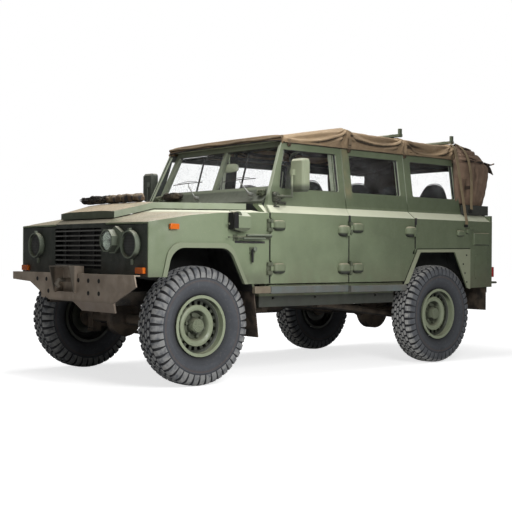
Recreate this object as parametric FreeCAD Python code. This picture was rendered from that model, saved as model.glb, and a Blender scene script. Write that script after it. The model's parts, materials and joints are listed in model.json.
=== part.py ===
"""Army 4x4 car: a long-bodied utility vehicle with a canvas roof, on a ladder frame with two live axles.

Working frame: X forward from the front axle, Y to the car's left, Z up from the ground, in millimetres.
save() moves every piece along X, so that the stored origin lies on the ground, midway between the ends.
"""
import FreeCAD, Part
import math
import os

V = FreeCAD.Vector
os.makedirs("parts", exist_ok=True)

# ---------------------------------------------------------------- driving dimensions
WHEELBASE = 2615
TRACK = 1500
TYRE_R = 425            # outer radius with the tread
TYRE_HALF_W = 112       # at the widest point of the sidewall
BEAD_R = 203            # seat of the tyre on the rim
FLANGE_R = 218
RIM_HALF_W = 90

FRONT_END = 700         # tow box, ahead of the front axle
REAR_OVERHANG = 828     # lashing hoops, behind the rear axle

BODY_Y = 885            # half width of the lower body
BELT_Z = 1245           # foot of the shoulder
SHOULDER_IN = 80        # how far the shoulder's top lies inside the lower body
SHOULDER_Z = 1305
ROOF_IN = 150           # how far the roof's edge lies inside the lower body
ROOF_Z = 1800
SILL_Z = 717            # lower edge of the doors
REAR_LOW_Z = 650        # lower edge of the rear corners
SKIN = 12               # formed panel with its folded edges
DOOR_SKIN = 15          # outer layer of a door
DOOR_T = 45             # whole thickness of a door
GAP = 10.4              # shut gap round a moving panel
SEAT = 0.3              # gap of pieces that only rest against each other
FIT = 0.05              # radial clearance of a pin in its bore

NOSE_X = 486            # front face of wings and nose panel
NOSE_TOP_Z, NOSE_LOW_Z = 1150, 775
WING_REAR_X = -597
BULKHEAD_X = -640
DASH_X = -800
DOOR_SPLIT_X = -1440    # centre of the gap between the doors, below the belt
SPLIT_JOG = 48          # how much further back that gap lies above the shoulder

WINDOW_LOW_Z, WINDOW_TOP_Z = 1438, 1742
WINDOW_CORNER_R = 18
GLASS_T = 5
GLASS_DEPTH = 20        # glass behind the outer face

HINGE_OUT = 18          # door hinge pins stand this far outside the skin
PIN_R, KNUCKLE_R = 5, 10
HINGE_Z = (830, 1150)

KINGPIN_IN = 130        # kingpins inside the middle of the tyres
ARM_X, ARM_Z = -175, 350            # track rod end on the steering arms
BONNET_HINGE_X, BONNET_HINGE_Z = -612, 1292
TAILGATE_HINGE_Z = 672
TAILGATE_HALF_W = 660
FLOOR_Z = 700
TUNNEL_Y, TUNNEL_Z = 190, 800

# ---------------------------------------------------------------- places that follow from them
REAR_X = -WHEELBASE
REAR_SPLIT_X = REAR_X + 375         # centre of the gap behind the rear door
CORNER_X = REAR_X - 373             # joint between quarter panel and rear corner
BODY_REAR_X = REAR_X - 705
GREENHOUSE_TOP_X, GREENHOUSE_LOW_X = REAR_X - 297, REAR_X - 350
SHOULDER_Y = BODY_Y - SHOULDER_IN
ROOF_Y = BODY_Y - ROOF_IN
HINGE_Y = BODY_Y + HINGE_OUT
PILLAR_DEPTH = DOOR_T + 9           # pillars clear the doors' inner faces
MIDDLE_PIN_X = DOOR_SPLIT_X - GAP / 2 - 5.3     # rear doors' pins, clear of the front doors' edges
KINGPIN_Y = TRACK / 2 - KINGPIN_IN
SHIFT_X = (WHEELBASE + REAR_OVERHANG - FRONT_END) / 2


# ---------------------------------------------------------------- helpers
def box(x0, x1, y0, y1, z0, z1):
    """Box between two opposite corners, given in any order."""
    return Part.makeBox(abs(x1 - x0), abs(y1 - y0), abs(z1 - z0), V(min(x0, x1), min(y0, y1), min(z0, z1)))


def wire(points, place):
    """Closed wire through corners (a, b) or (a, b, r), where r rounds that corner with a tangent arc."""
    n = len(points)
    flat = [V(p[0], p[1], 0) for p in points]
    cuts = []
    for i, p in enumerate(points):
        r = p[2] if len(p) > 2 else 0
        if not r:
            cuts.append((flat[i], None, flat[i]))
            continue
        u = (flat[i - 1] - flat[i]).normalize()
        w = (flat[(i + 1) % n] - flat[i]).normalize()
        half = u.getAngle(w) / 2
        run = r / math.tan(half)
        middle = flat[i] + (u + w).normalize() * (r / math.sin(half) - r)
        cuts.append((flat[i] + u * run, middle, flat[i] + w * run))
    edges = []
    for i, (start, middle, end) in enumerate(cuts):
        if middle is not None:
            edges.append(Part.Arc(place(start), place(middle), place(end)).toShape())
        follow = cuts[(i + 1) % n][0]
        if (follow - end).Length > 1e-6:
            edges.append(Part.LineSegment(place(end), place(follow)).toShape())
    return Part.Wire(edges)


def side(points, y0, y1):
    """Outline in (x, z), extruded across the car from y0 to y1."""
    return Part.Face(wire(points, lambda p: V(p.x, y0, p.y))).extrude(V(0, y1 - y0, 0))


def cross(points, x0, x1):
    """Outline in (y, z), extruded along the car from x0 to x1."""
    return Part.Face(wire(points, lambda p: V(x0, p.x, p.y))).extrude(V(x1 - x0, 0, 0))


def plan(points, z0, z1):
    """Outline in (x, y), extruded upwards from z0 to z1."""
    return Part.Face(wire(points, lambda p: V(p.x, p.y, z0))).extrude(V(0, 0, z1 - z0))


def loft(rings):
    """Ruled solid through closed rings of straight edges, each a list of (x, y, z) corners."""
    return Part.makeLoft([Part.makePolygon([V(*p) for p in ring + ring[:1]]) for ring in rings], True, True)


def rod(start, end, r):
    """Round bar between two points."""
    a, b = V(*start), V(*end)
    return Part.makeCylinder(r, (b - a).Length, a, b - a)


def bent_rod(points, r):
    """Round bar through several points, with a ball at each bend."""
    made = [rod(points[i], points[i + 1], r) for i in range(len(points) - 1)]
    made += [Part.makeSphere(r, V(*p)) for p in points[1:-1]]
    return fuse(made)


def turned(profile, centre, axis=(0, 1, 0)):
    """Solid of revolution of (along, radius) corners about an axis through centre."""
    along = V(*axis)
    out = V(0, 0, 1) if abs(along.z) < 0.5 else V(1, 0, 0)
    out = (out - along * out.dot(along)).normalize()
    c = V(*centre)
    ring = wire(profile, lambda p: c + along * p.x + out * p.y)
    return Part.Face(ring).revolve(c, along, 360)


def fuse(shapes):
    """One solid from several that touch or overlap."""
    made = shapes[0].fuse(list(shapes[1:])) if len(shapes) > 1 else shapes[0]
    return made.removeSplitter()


def without(shape, tools):
    """A shape with several tools cut out of it."""
    return shape.cut(tools) if tools else shape


def mirrored(shape):
    """The same piece on the car's other side."""
    return shape.mirror(V(0, 0, 0), V(0, 1, 0))


def both(*shapes):
    """Each piece and its mirror image, as a list."""
    return [s for shape in shapes for s in (shape, mirrored(shape))]


def save(node, *shapes):
    """Moves the solids of one node to the stored frame, and writes their STEP file."""
    solids = [s for shape in shapes for s in shape.Solids]
    moved = [s.translated(V(SHIFT_X, 0, 0)) for s in solids]
    whole = moved[0] if len(moved) == 1 else Part.makeCompound(moved)
    bad = [i for i, s in enumerate(moved) if not s.isValid() or s.Volume <= 0]
    whole.exportStep(f"parts/{node}.step")
    print(f"{node:24s} {len(moved):3d} solids {sum(s.Volume for s in moved) / 1e6:9.2f} litres", bad or "")


# ---------------------------------------------------------------- the body's section
def body_y(z):
    """Outer half width of doors and sides at height z."""
    if z <= BELT_Z:
        return BODY_Y
    if z <= SHOULDER_Z:
        return BODY_Y + (SHOULDER_Y - BODY_Y) * (z - BELT_Z) / (SHOULDER_Z - BELT_Z)
    return SHOULDER_Y + (ROOF_Y - SHOULDER_Y) * (z - SHOULDER_Z) / (ROOF_Z - SHOULDER_Z)


def band(outer, inner, z0, z1, x0, x1):
    """Left body wall between two depths behind the outer face, from z0 to z1, along x0 to x1."""
    heights = [z0] + [z for z in (BELT_Z, SHOULDER_Z) if z0 < z < z1] + [z1]
    line = [(body_y(z) - outer, z) for z in heights]
    line += [(body_y(z) - inner, z) for z in reversed(heights)]
    return cross(line, x0, x1)


def cut_out(outline):
    """Tool that cuts an (x, z) outline through the left side."""
    return side(outline, BODY_Y - 385, BODY_Y + 115)


def inset(outline, front, rear, low, top):
    """Outline of an inner layer: its corners drawn in from the front, rear, lower and top edges."""
    xs = [p[0] for p in outline]
    mid_x = (min(xs) + max(xs)) / 2
    moved = []
    for x, z in outline:
        dx = -front if x > mid_x else rear
        dz = low if z < SILL_Z + 60 else (-top if z > ROOF_Z - 60 else 0)
        moved.append((x + dx, z + dz))
    return moved


# side windows: lower front x, top front x, rear x
WINDOWS = {
    "front": (-778, -852, DOOR_SPLIT_X + 16),
    "rear": (DOOR_SPLIT_X - 134, DOOR_SPLIT_X - 134, REAR_SPLIT_X + 72),
    "quarter": (REAR_SPLIT_X - 86, REAR_SPLIT_X - 86, REAR_X - 293),
}


def window(name, grow=0.0):
    """Rounded outline of one side window, larger all round by grow."""
    low_x, top_x, rear_x = WINDOWS[name]
    z0, z1 = WINDOW_LOW_Z - grow, WINDOW_TOP_Z + grow
    r = WINDOW_CORNER_R
    return [(low_x + grow, z0, r), (top_x + grow, z1, r), (rear_x - grow, z1, r), (rear_x - grow, z0, r)]


def pane(name):
    """Glass in one side window, with a small gap for its seal."""
    xs = WINDOWS[name]
    strip = band(GLASS_DEPTH, GLASS_DEPTH + GLASS_T, SHOULDER_Z + 20, ROOF_Z - 10, max(xs) + 20, min(xs) - 20)
    return strip.common(cut_out(window(name, -SEAT)))


# ---------------------------------------------------------------- door furniture
def pad(x0, x1, z, height, depth):
    """Domed pad on the side skin, rounded at both ends and bevelled all round its outer face."""
    h = height / 2
    body = side([(x0, z - h, h * 0.9), (x0, z + h, h * 0.9), (x1, z + h * 0.85, h * 0.7), (x1, z - h * 0.85, h * 0.7)],
                BODY_Y + SEAT, BODY_Y + depth)
    rim = [e for e in body.Edges if e.BoundBox.YMin > BODY_Y + depth - 0.5]
    return body.makeChamfer(depth * 0.35, rim)


def hinge_strap(x, z, length):
    """Moving half of a strap hinge: middle knuckle, strap, and a domed pad on the door's outer face."""
    knuckle = rod((x, HINGE_Y, z - 16), (x, HINGE_Y, z + 16), KNUCKLE_R)
    strap = box(x, x - 44, BODY_Y + SEAT, BODY_Y + 13, z - 15, z + 15)
    ear = pad(x - 34, x - length, z, 62, 26)
    bore = rod((x, HINGE_Y, z - 20), (x, HINGE_Y, z + 20), PIN_R + FIT)
    return fuse([knuckle, strap, ear]).cut(bore)


HINGE_HALF_H = 46


def hinge_post(x, z, carrier):
    """Fixed half: the pin with two outer knuckles, and the leaf that carries them."""
    h = HINGE_HALF_H
    pin = rod((x, HINGE_Y, z - h), (x, HINGE_Y, z + h), PIN_R)
    knuckles = [rod((x, HINGE_Y, z + a), (x, HINGE_Y, z + b), KNUCKLE_R) for a, b in ((-h, -17), (17, h))]
    return fuse([pin] + knuckles + [carrier])


def wing_leaf(x, z):
    """Leaf that lies on the wing, ahead of the door gap."""
    plate = box(x + 36, x + 6, BODY_Y, BODY_Y + 8, z - 42, z + 42)
    webs = [box(x + 36, x, BODY_Y, HINGE_Y + 4, z + a, z + b) for a, b in ((-HINGE_HALF_H, -20), (20, HINGE_HALF_H))]
    return fuse([plate] + webs)


def pillar_leaf(x, z):
    """Leaf that comes out through the gap between the doors, from the pillar behind to the pin."""
    leaves = [box(x - 2, x + 2, BODY_Y - PILLAR_DEPTH + SEAT, HINGE_Y, z + a, z + b)
              for a, b in ((-HINGE_HALF_H, -17), (17, HINGE_HALF_H))]
    webs = [box(x + 2, MIDDLE_PIN_X, HINGE_Y - 6, HINGE_Y, z + a, z + b)
            for a, b in ((-HINGE_HALF_H, -17), (17, HINGE_HALF_H))]
    return fuse(leaves + webs)


def latch_pad(x, z, handle=True):
    """Domed latch housing on the rear edge of a door, with a turn handle."""
    housing = pad(x + 88, x, z, 70, 34)
    if not handle:
        return housing
    boss = rod((x + 30, BODY_Y + 20, z + 6), (x + 30, BODY_Y + 50, z + 6), 12)
    lever = box(x + 20, x + 40, BODY_Y + 42, BODY_Y + 52, z - 40, z + 16)
    return fuse([housing, boss, lever])


def notch(x, z):
    """Relief in a door's edge for the hinge knuckles."""
    return box(x - 17, x + 17, BODY_Y - 30, HINGE_Y + 20, z - HINGE_HALF_H - 8, z + HINGE_HALF_H + 8)


# ---------------------------------------------------------------- doors
def door_layers(outline, window_name, rear_inset, seam_z):
    """Outer skin on a narrower inner frame, with the window cut: the lower door, and the door top bolted to it."""
    xs = [p[0] for p in outline]
    x0, x1 = max(xs) + 30, min(xs) - 30
    skin = band(0, DOOR_SKIN, SILL_Z - 10, ROOF_Z, x0, x1).common(cut_out(outline))
    frame = band(DOOR_SKIN - 1, DOOR_T, SILL_Z - 10, ROOF_Z, x0, x1)
    frame = frame.common(cut_out(inset(outline, 6, rear_inset, 14, 14)))
    whole = fuse([skin, frame]).cut(cut_out(window(window_name)))
    low = box(x0, x1, 500, 1000, SILL_Z - 20, seam_z - SEAT)
    return [whole.common(low), whole.common(box(x0, x1, 500, 1000, seam_z, ROOF_Z + 20))]


DOOR_TOP_Z = ROOF_Z - 6
FRONT_HINGE_X = WING_REAR_X - GAP / 2


def front_door():
    """Left front door, hinged on the wing, with the straps and latches that are bolted to its skin."""
    front, rear = WING_REAR_X - GAP, DOOR_SPLIT_X + GAP / 2
    outline = [(front, SILL_Z), (front, BELT_Z), (front - 32, SHOULDER_Z), (-846, DOOR_TOP_Z),
               (rear - SPLIT_JOG, DOOR_TOP_Z), (rear - SPLIT_JOG, SHOULDER_Z), (rear, BELT_Z), (rear, SILL_Z)]
    low, top = door_layers(outline, "front", 22, BELT_Z)
    low = without(low, [notch(x, z) for x in (FRONT_HINGE_X, DOOR_SPLIT_X) for z in HINGE_Z])
    straps = [hinge_strap(FRONT_HINGE_X, z, 128) for z in HINGE_Z]
    return [low, top] + straps + [latch_pad(rear + 18, HINGE_Z[1] - 26), latch_pad(rear + 18, HINGE_Z[0] - 4, False)]


ARCH_REAR = {          # wheel opening in the rear quarter, as seen from the side
    "low_x": REAR_X + 519, "top_x": REAR_X + 342, "top_z": 984,
    "back_x": REAR_X - 162, "end_x": REAR_X - 347,
}


def rear_door():
    """Left rear door, cut back along the wheel opening, with its straps and its latch."""
    a = ARCH_REAR
    front, rear = DOOR_SPLIT_X - GAP / 2, REAR_SPLIT_X + GAP / 2
    slope = (a["top_x"] - a["low_x"]) / (a["top_z"] - SILL_Z)
    low_rear = a["low_x"] + 42
    z_meet = SILL_Z + (rear - low_rear) / slope
    outline = [(front, SILL_Z), (front, BELT_Z), (front - SPLIT_JOG, SHOULDER_Z), (front - SPLIT_JOG, DOOR_TOP_Z),
               (rear, DOOR_TOP_Z), (rear, z_meet), (low_rear, SILL_Z)]
    low, top = door_layers(outline, "rear", 24, SHOULDER_Z)
    low = without(low, [notch(MIDDLE_PIN_X, z) for z in HINGE_Z])
    straps = [hinge_strap(MIDDLE_PIN_X, z, 110) for z in HINGE_Z]
    return [low, top] + straps + [latch_pad(rear + 18, HINGE_Z[1] - 18)]


MIRROR_X, MIRROR_Y, MIRROR_Z = -805, BODY_Y + 92, 1527
MIRROR_HALF_W, MIRROR_HALF_H = 78, 124


def mirror():
    """Left mirror: a deep rounded shell with its glass recess, on an angled stem from the door's shoulder."""
    w, h = MIRROR_HALF_W, MIRROR_HALF_H

    def face(half_w, half_h, r, x0, x1):
        corners = [(MIRROR_Y - half_w, MIRROR_Z - half_h, r), (MIRROR_Y - half_w, MIRROR_Z + half_h, r),
                   (MIRROR_Y + half_w, MIRROR_Z + half_h, r), (MIRROR_Y + half_w, MIRROR_Z - half_h, r)]
        return cross(corners, x0, x1)

    shell = face(w, h, 30, MIRROR_X - 34, MIRROR_X + 30)
    front = [e for e in shell.Edges if e.BoundBox.XMin > MIRROR_X + 29.5]
    shell = shell.makeChamfer(18, front).cut(face(w - 9, h - 9, 22, MIRROR_X - 35, MIRROR_X - 24))
    stem_x, foot_z = MIRROR_X + 46, 1372
    stem = bent_rod([(-716, body_y(foot_z) + 12, foot_z), (stem_x, MIRROR_Y - 28, foot_z - 6),
                     (stem_x, MIRROR_Y - 28, MIRROR_Z + 36)], 8)
    clamp = box(MIRROR_X + 26, stem_x + 10, MIRROR_Y - 44, MIRROR_Y - 12, MIRROR_Z - 2, MIRROR_Z + 40)
    foot_y = body_y(foot_z - 34) + SEAT
    foot = box(-694, -738, foot_y, foot_y + 24, foot_z - 34, foot_z + 34)
    return fuse([shell, stem, clamp, foot])


# ---------------------------------------------------------------- front end
WING_TOP = ((NOSE_X, 1147), (430, 1157), (140, 1202), (-119, 1227), (WING_REAR_X, 1242))   # x, z of the outer edge
BONNET_EDGE = ((430, 375, 1234), (140, 450, 1308), (-600, 640, 1318))                      # x, half width, top z
BONNET_DEPTH = 46
BONNET_SHEET = 14
BONNET_CROWN = 8
SLAM_Z = 1181
LINER_REAR_X = -470
GRILLE_Y, GRILLE_Z0, GRILLE_Z1 = 332, 822, 1118
GRILLE_MID_Y = -36        # middle of the grille: it lies a little to the right
SLATS, SLAT_PITCH, SLAT_H = 8, 36, 11


def bonnet_edge(x):
    """Half width and top height of the bonnet at x, along straight lines between its stations."""
    for (xa, wa, za), (xb, wb, zb) in zip(BONNET_EDGE, BONNET_EDGE[1:]):
        if x >= xb or xb == BONNET_EDGE[-1][0]:
            t = (xa - x) / (xa - xb)
            return wa + (wb - wa) * t, za + (zb - za) * t


def arch_front(grow, low):
    """Outline of the front wheel opening from a low height up, larger all round by grow. Its two sides lean inwards."""
    top, r = 1012 + grow, 130
    front = [(374 + grow - 0.245 * (z - 775), z) for z in (low, top)]
    rear = [(-383 - 0.85 * grow + 0.532 * (z - SILL_Z), z) for z in (top, low)]
    return [front[0], (*front[1], r), (*rear[0], r), rear[1]]


def wheel_housing(points, y_in, y_out, sheet=8):
    """Left wheel housing: a sheet bent round the wheel, closed by a wall on its inner side."""
    top = max(p[1] for p in points)
    mid = sum(p[0] for p in points) / len(points)
    inner = []
    for x, z, *r in points:
        inner.append((x + (-sheet if x > mid else sheet), z - sheet if z == top else z - 40, *r))
    return side(points, y_in, y_out).cut(side(inner, y_in + sheet, BODY_Y + 5))


def front_wing():
    """Left front wing: side skin with its arch lip, the top that rises inwards, and the wheel housing."""
    outline = [(NOSE_X, NOSE_LOW_Z)] + list(WING_TOP) + [(WING_REAR_X, SILL_Z), (-370, SILL_Z), (362, NOSE_LOW_Z)]
    skin = side(outline, BODY_Y - SKIN, BODY_Y)
    lip = side(arch_front(0, SILL_Z), BODY_Y - 26, BODY_Y + 11)
    lip = lip.cut(box(310, 420, BODY_Y - 85, BODY_Y + 115, 600, NOSE_LOW_Z))
    skin = fuse([skin, lip]).cut(side(arch_front(-36, 600), BODY_Y - 60, BODY_Y + 40))
    rings = []
    for x, z_out in WING_TOP:
        w, z_lid = bonnet_edge(min(x, BONNET_EDGE[0][0]))
        z_in = SLAM_Z - 30 if x == NOSE_X else z_lid - BONNET_DEPTH - 6
        line = [(BODY_Y, z_out), (SHOULDER_Y, z_out + (z_in - z_out) * 0.3), (w - 24, z_in)]
        line += [(y, z - SKIN) for y, z in reversed(line)]
        rings.append([(x, y, z) for y, z in line])
    housing = wheel_housing([(424, 780), (392, 1034, 120), (-368, 1034, 120), (LINER_REAR_X, 660)],
                            KINGPIN_Y - 208, BODY_Y - SKIN + 1)
    flange = box(WING_REAR_X, WING_REAR_X + SKIN, BODY_Y - 125, BODY_Y - SKIN + 1, SILL_Z, 1225)
    patch = loft([[(x, y, z + d) for y, z in ((BODY_Y - 40, z0 + 2), (SHOULDER_Y - 70, z0 + 18))
                   for d in ((-6, 7) if y > SHOULDER_Y else (7, -6))] for x, z0 in ((-330, 1229), (-540, 1238))])
    return fuse([skin, loft(rings), housing, flange, patch])


def nose_panel():
    """Nose panel between the wings, with the grille opening, and the slam panel behind its top edge."""
    y = BODY_Y - SKIN - SEAT
    r = 12
    panel = box(NOSE_X - SKIN, NOSE_X, -y, y, NOSE_LOW_Z, 1132)
    y0, y1 = GRILLE_MID_Y - GRILLE_Y, GRILLE_MID_Y + GRILLE_Y
    opening = cross([(y0, GRILLE_Z0, r), (y0, GRILLE_Z1, r), (y1, GRILLE_Z1, r), (y1, GRILLE_Z0, r)], NOSE_X - 50, NOSE_X + 10)
    half = BONNET_EDGE[0][1] - 28
    slam = side([(NOSE_X, 1128), (NOSE_X, NOSE_TOP_Z, 10), (432, SLAM_Z), (404, SLAM_Z), (404, SLAM_Z - 12),
                 (428, SLAM_Z - 12), (NOSE_X - SKIN, 1140), (NOSE_X - SKIN, 1128)], -half, half)
    return fuse([panel.cut(opening), slam])


def grille():
    """Horizontal slats on three uprights, set in the nose opening."""
    slats = []
    for i in range(SLATS):
        z = GRILLE_Z1 - 14 - SLAT_PITCH * i
        slats.append(side([(NOSE_X - 3, z), (NOSE_X - 3, z - SLAT_H), (NOSE_X - 20, z - SLAT_H + 4), (NOSE_X - 20, z + 4)],
                          GRILLE_MID_Y - GRILLE_Y + SEAT, GRILLE_MID_Y + GRILLE_Y - SEAT))
    posts = [box(NOSE_X - 32, NOSE_X - 16, y - 9, y + 9, GRILLE_Z0 + SEAT, GRILLE_Z1 - SEAT)
             for y in (GRILLE_MID_Y - 200, GRILLE_MID_Y, GRILLE_MID_Y + 200)]
    return fuse(slats + posts)


def bonnet_shell(shrink, drop):
    """Solid under the bonnet's outer faces, smaller by shrink at its sides and by drop at its top."""
    rings = []
    for i, (x, w, z) in enumerate(BONNET_EDGE):
        x += (-shrink, 0, shrink)[i]
        y, top, low = w - shrink, z - drop, z - BONNET_DEPTH - (40 if drop else 0)
        crown = top + BONNET_CROWN
        rings.append([(x, -y, low), (x, -y, top), (x, -y * 0.6, crown), (x, y * 0.6, crown), (x, y, top), (x, y, low)])
    return loft(rings)


def bonnet():
    """Raised lid with a turned-down rim, and two knuckles at the scuttle."""
    x, z = BONNET_HINGE_X, BONNET_HINGE_Z
    corners = []
    for s in (1, -1):
        w = BONNET_EDGE[-1][1]
        corners.append(plan([(BONNET_EDGE[-1][0] - 1, s * (w - 34)), (BONNET_EDGE[-1][0] - 1, s * (w + 5)),
                             (BONNET_EDGE[-1][0] + 34, s * (w + 5))], 1200, 1400))
    lid = without(bonnet_shell(0, 0), corners).cut(bonnet_shell(BONNET_SHEET, BONNET_SHEET))
    fixed = []
    bores = []
    for y in (-430, 430):
        fixed.append(rod((x, y - 30, z), (x, y + 30, z), 9))
        fixed.append(box(x, x + 22, y - 20, y + 20, z - 7, z + 7))
        bores.append(rod((x, y - 40, z), (x, y + 40, z), PIN_R + FIT))
    return without(fuse([lid] + fixed), bores)


BUMPER_X, BUMPER_TOP, BUMPER_LOW = 540, 788, 588
BUMPER_Y = 880
BUMPER_DEPTH = 54
RAIL_FRONT_X = 538
TOW_BOX = {"y0": -135, "y1": 135, "z0": 654, "z1": 830}
BUMPER_HOLES = ((-440, 740), (-300, 740), (165, 740), (300, 740), (440, 740), (-270, 652), (300, 652), (440, 652))   # y, z
HOLE_R = 13
FACE_T = 10


def sweep(depth):
    """Plan outline of the bumper's front, set back by depth: straight in the middle, with slightly swept ends."""
    x = BUMPER_X + BUMPER_DEPTH - depth
    return [(x, -600), (x, 600), (x - 14, BUMPER_Y)], [(x - 14, -BUMPER_Y)]


def bumper_strip(d0, d1, z0, z1):
    """Strip that follows the bumper's front between two depths."""
    right, left = sweep(d0)
    back_right, back_left = sweep(d1)
    return plan(left + right + list(reversed(back_right)) + back_left, z0, z1)


def front_bumper():
    """Bumper: face plate, cut higher on the right, top flange, skid plate on the left, tow box and its hook."""
    x = BUMPER_X + BUMPER_DEPTH
    front = cross([(-BUMPER_Y + 14, 729), (-BUMPER_Y + 14, BUMPER_TOP), (BUMPER_Y - 22, BUMPER_TOP), (BUMPER_Y, 709),
                   (617, BUMPER_LOW), (-262, BUMPER_LOW), (-556, 716)], BUMPER_X - 60, x + 10)
    face = bumper_strip(0, FACE_T, BUMPER_LOW, BUMPER_TOP).common(front)
    flange = bumper_strip(FACE_T - 1, BUMPER_DEPTH - 4, BUMPER_TOP - 8, BUMPER_TOP).common(front)
    skid = loft([[(x - a, y0, z), (x - a, y1, z), (x - b, y1, z), (x - b, y0, z)]
                 for a, b, y0, y1, z in ((3, 22, 50, 614, BUMPER_LOW + 14), (32, 44, 165, 600, 522))])
    horns = [box(RAIL_FRONT_X + SEAT, x - FACE_T + 1, s * 365 - 30, s * 365 + 30, 600, 655) for s in (1, -1)]
    t = TOW_BOX
    plates = fuse([face, flange, skid] + horns)
    plates = plates.cut(box(BUMPER_X - 60, x + 20, t["y0"] - 5, t["y1"] + 5, t["z0"] - 5, BUMPER_TOP + 20))
    plates = without(plates, [rod((x - 20, y, z), (x + 10, y, z), HOLE_R) for y, z in BUMPER_HOLES])
    frame = box(BUMPER_X - 2, x + 8, t["y0"] - 12, t["y1"] + 12, t["z0"] - 8, t["z1"] + 12)
    frame = frame.cut(box(BUMPER_X + 8, x + 30, t["y0"], t["y1"], t["z0"], t["z1"]))
    cheeks = [side([(x - 2, t["z0"] - 8), (x - 2, t["z1"] + 12), (x + 66, t["z1"] + 12), (x + 24, t["z0"] - 8)], y, y + w)
              for y, w in ((t["y0"] - 10, 10), (t["y1"], 10))]
    top = box(x - 2, x + 66, t["y0"] - 10, t["y1"] + 10, t["z1"] + 2, t["z1"] + 12)
    tip, y = FRONT_END - 14, 15
    hook = bent_rod([(BUMPER_X + 8 + SEAT, y, 742), (tip - 18, y, 742), (tip, y, 712), (tip - 18, y, 690)], 14)
    return [fuse([plates, frame, top] + cheeks), hook]


HEADLAMP_Y, HEADLAMP_Z, HEADLAMP_R = 660, 995, 100
LAMP_SHIFT_Y = 41                 # both headlamps sit this far to the left of a mirrored pair
DRIVING_LAMP = (480, 1022)      # y, z: one lamp only, on the left


def headlamp():
    """Left headlamp housing: a deep bowl with a drip tab above and a drain spout below."""
    centre = (NOSE_X, HEADLAMP_Y, HEADLAMP_Z)
    bowl = turned([(SEAT, 0), (SEAT, 92), (14, HEADLAMP_R), (44, HEADLAMP_R - 4), (44, 86), (14, 82), (8, 0)],
                  centre, (1, 0, 0))
    tab = box(NOSE_X + 18, NOSE_X + 38, HEADLAMP_Y - 12, HEADLAMP_Y + 12, HEADLAMP_Z + 90, HEADLAMP_Z + 112)
    spout = box(NOSE_X + SEAT, NOSE_X + 14, HEADLAMP_Y - 9, HEADLAMP_Y + 9, HEADLAMP_Z - 138, HEADLAMP_Z - 84)
    return fuse([bowl, tab, spout])


def headlamp_lens():
    """Domed glass of the left headlamp, deep in its bowl."""
    return turned([(20, 0), (20, 82.6), (24, 82.6), (32, 50), (34, 0)], (NOSE_X, HEADLAMP_Y, HEADLAMP_Z), (1, 0, 0))


def shifted(lamps):
    """The two headlamp pieces at their places, both a little to the left."""
    return [s.translated(V(0, LAMP_SHIFT_Y, 0)) for s in lamps]


def driving_lamp():
    """Driving lamp: octagonal shell in an angular bracket."""
    y, z = DRIVING_LAMP
    corners = [(y + 84 * math.cos(math.radians(22.5 + 45 * i)), z + 84 * math.sin(math.radians(22.5 + 45 * i)))
               for i in range(8)]
    shell = cross(corners, NOSE_X + 26, NOSE_X + 80)
    shell = shell.cut(rod((NOSE_X + 40, y, z), (NOSE_X + 90, y, z), 68))
    reach = HEADLAMP_Y + LAMP_SHIFT_Y - HEADLAMP_R - 3 - y
    bracket = cross([(y - 30, z - 88), (y - 30, z + 70), (y + 40, z + 102), (y + reach, z + 60), (y + reach, z - 30),
                     (y + 40, z - 88)], NOSE_X + SEAT, NOSE_X + 30)
    return fuse([shell, bracket])


def driving_lens():
    """Glass of the driving lamp."""
    return turned([(64, 0), (64, 67.6), (70, 67.6), (76, 0)], (NOSE_X, *DRIVING_LAMP), (1, 0, 0))


def indicators():
    """Front turn lamps at the nose corners, and repeaters on the wings."""
    nose = box(NOSE_X + SEAT, NOSE_X + 26, BODY_Y - 133, BODY_Y - 17, 797, 853)
    repeater = side([(248, 1100, 8), (322, 1100, 8), (322, 1152, 8), (248, 1152, 8)], BODY_Y + SEAT, BODY_Y + 30)
    return both(nose, repeater)


def grab_bar():
    """Left grab bar: a tube along the wing, on two feet."""
    y = BODY_Y + 38
    bar = bent_rod([(-262, BODY_Y + SEAT, 1052), (-262, y, 1052), (-575, y, 1066), (-575, BODY_Y + SEAT, 1066)], 9)
    feet = [box(x - 18, x + 18, BODY_Y + SEAT, BODY_Y + 7, z - 22, z + 22) for x, z in ((-262, 1052), (-575, 1066))]
    return fuse([bar] + feet)


def marker():
    """Tall marker lamp on a dished bracket, on the left wing only."""
    x = -245
    body = side([(x - 36, 1122, 12), (x - 36, 1240, 30), (x + 36, 1240, 30), (x + 36, 1122, 12)],
                BODY_Y + SEAT, BODY_Y + 58)
    dish = side([(x - 110, 1124), (x + 46, 1124), (x + 30, 1108), (x - 40, 1094, 20), (x - 96, 1108)],
                BODY_Y + SEAT, BODY_Y + 66)
    return fuse([body, dish])


def door_stay():
    """Left hook plate behind the wheel arch."""
    plate = box(-400, -446, BODY_Y + SEAT, BODY_Y + 10, 940, 986)
    arm = side([(-412, 944), (-430, 944), (-424, 874), (-416, 874)], BODY_Y + 8, BODY_Y + 24)
    return fuse([plate, arm])


# ---------------------------------------------------------------- centre body
B_POST = (DOOR_SPLIT_X + 15, DOOR_SPLIT_X - 110)
HOUSING_Y = TRACK / 2 - TYRE_HALF_W - 40     # inner wall of the rear wheel boxes


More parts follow.
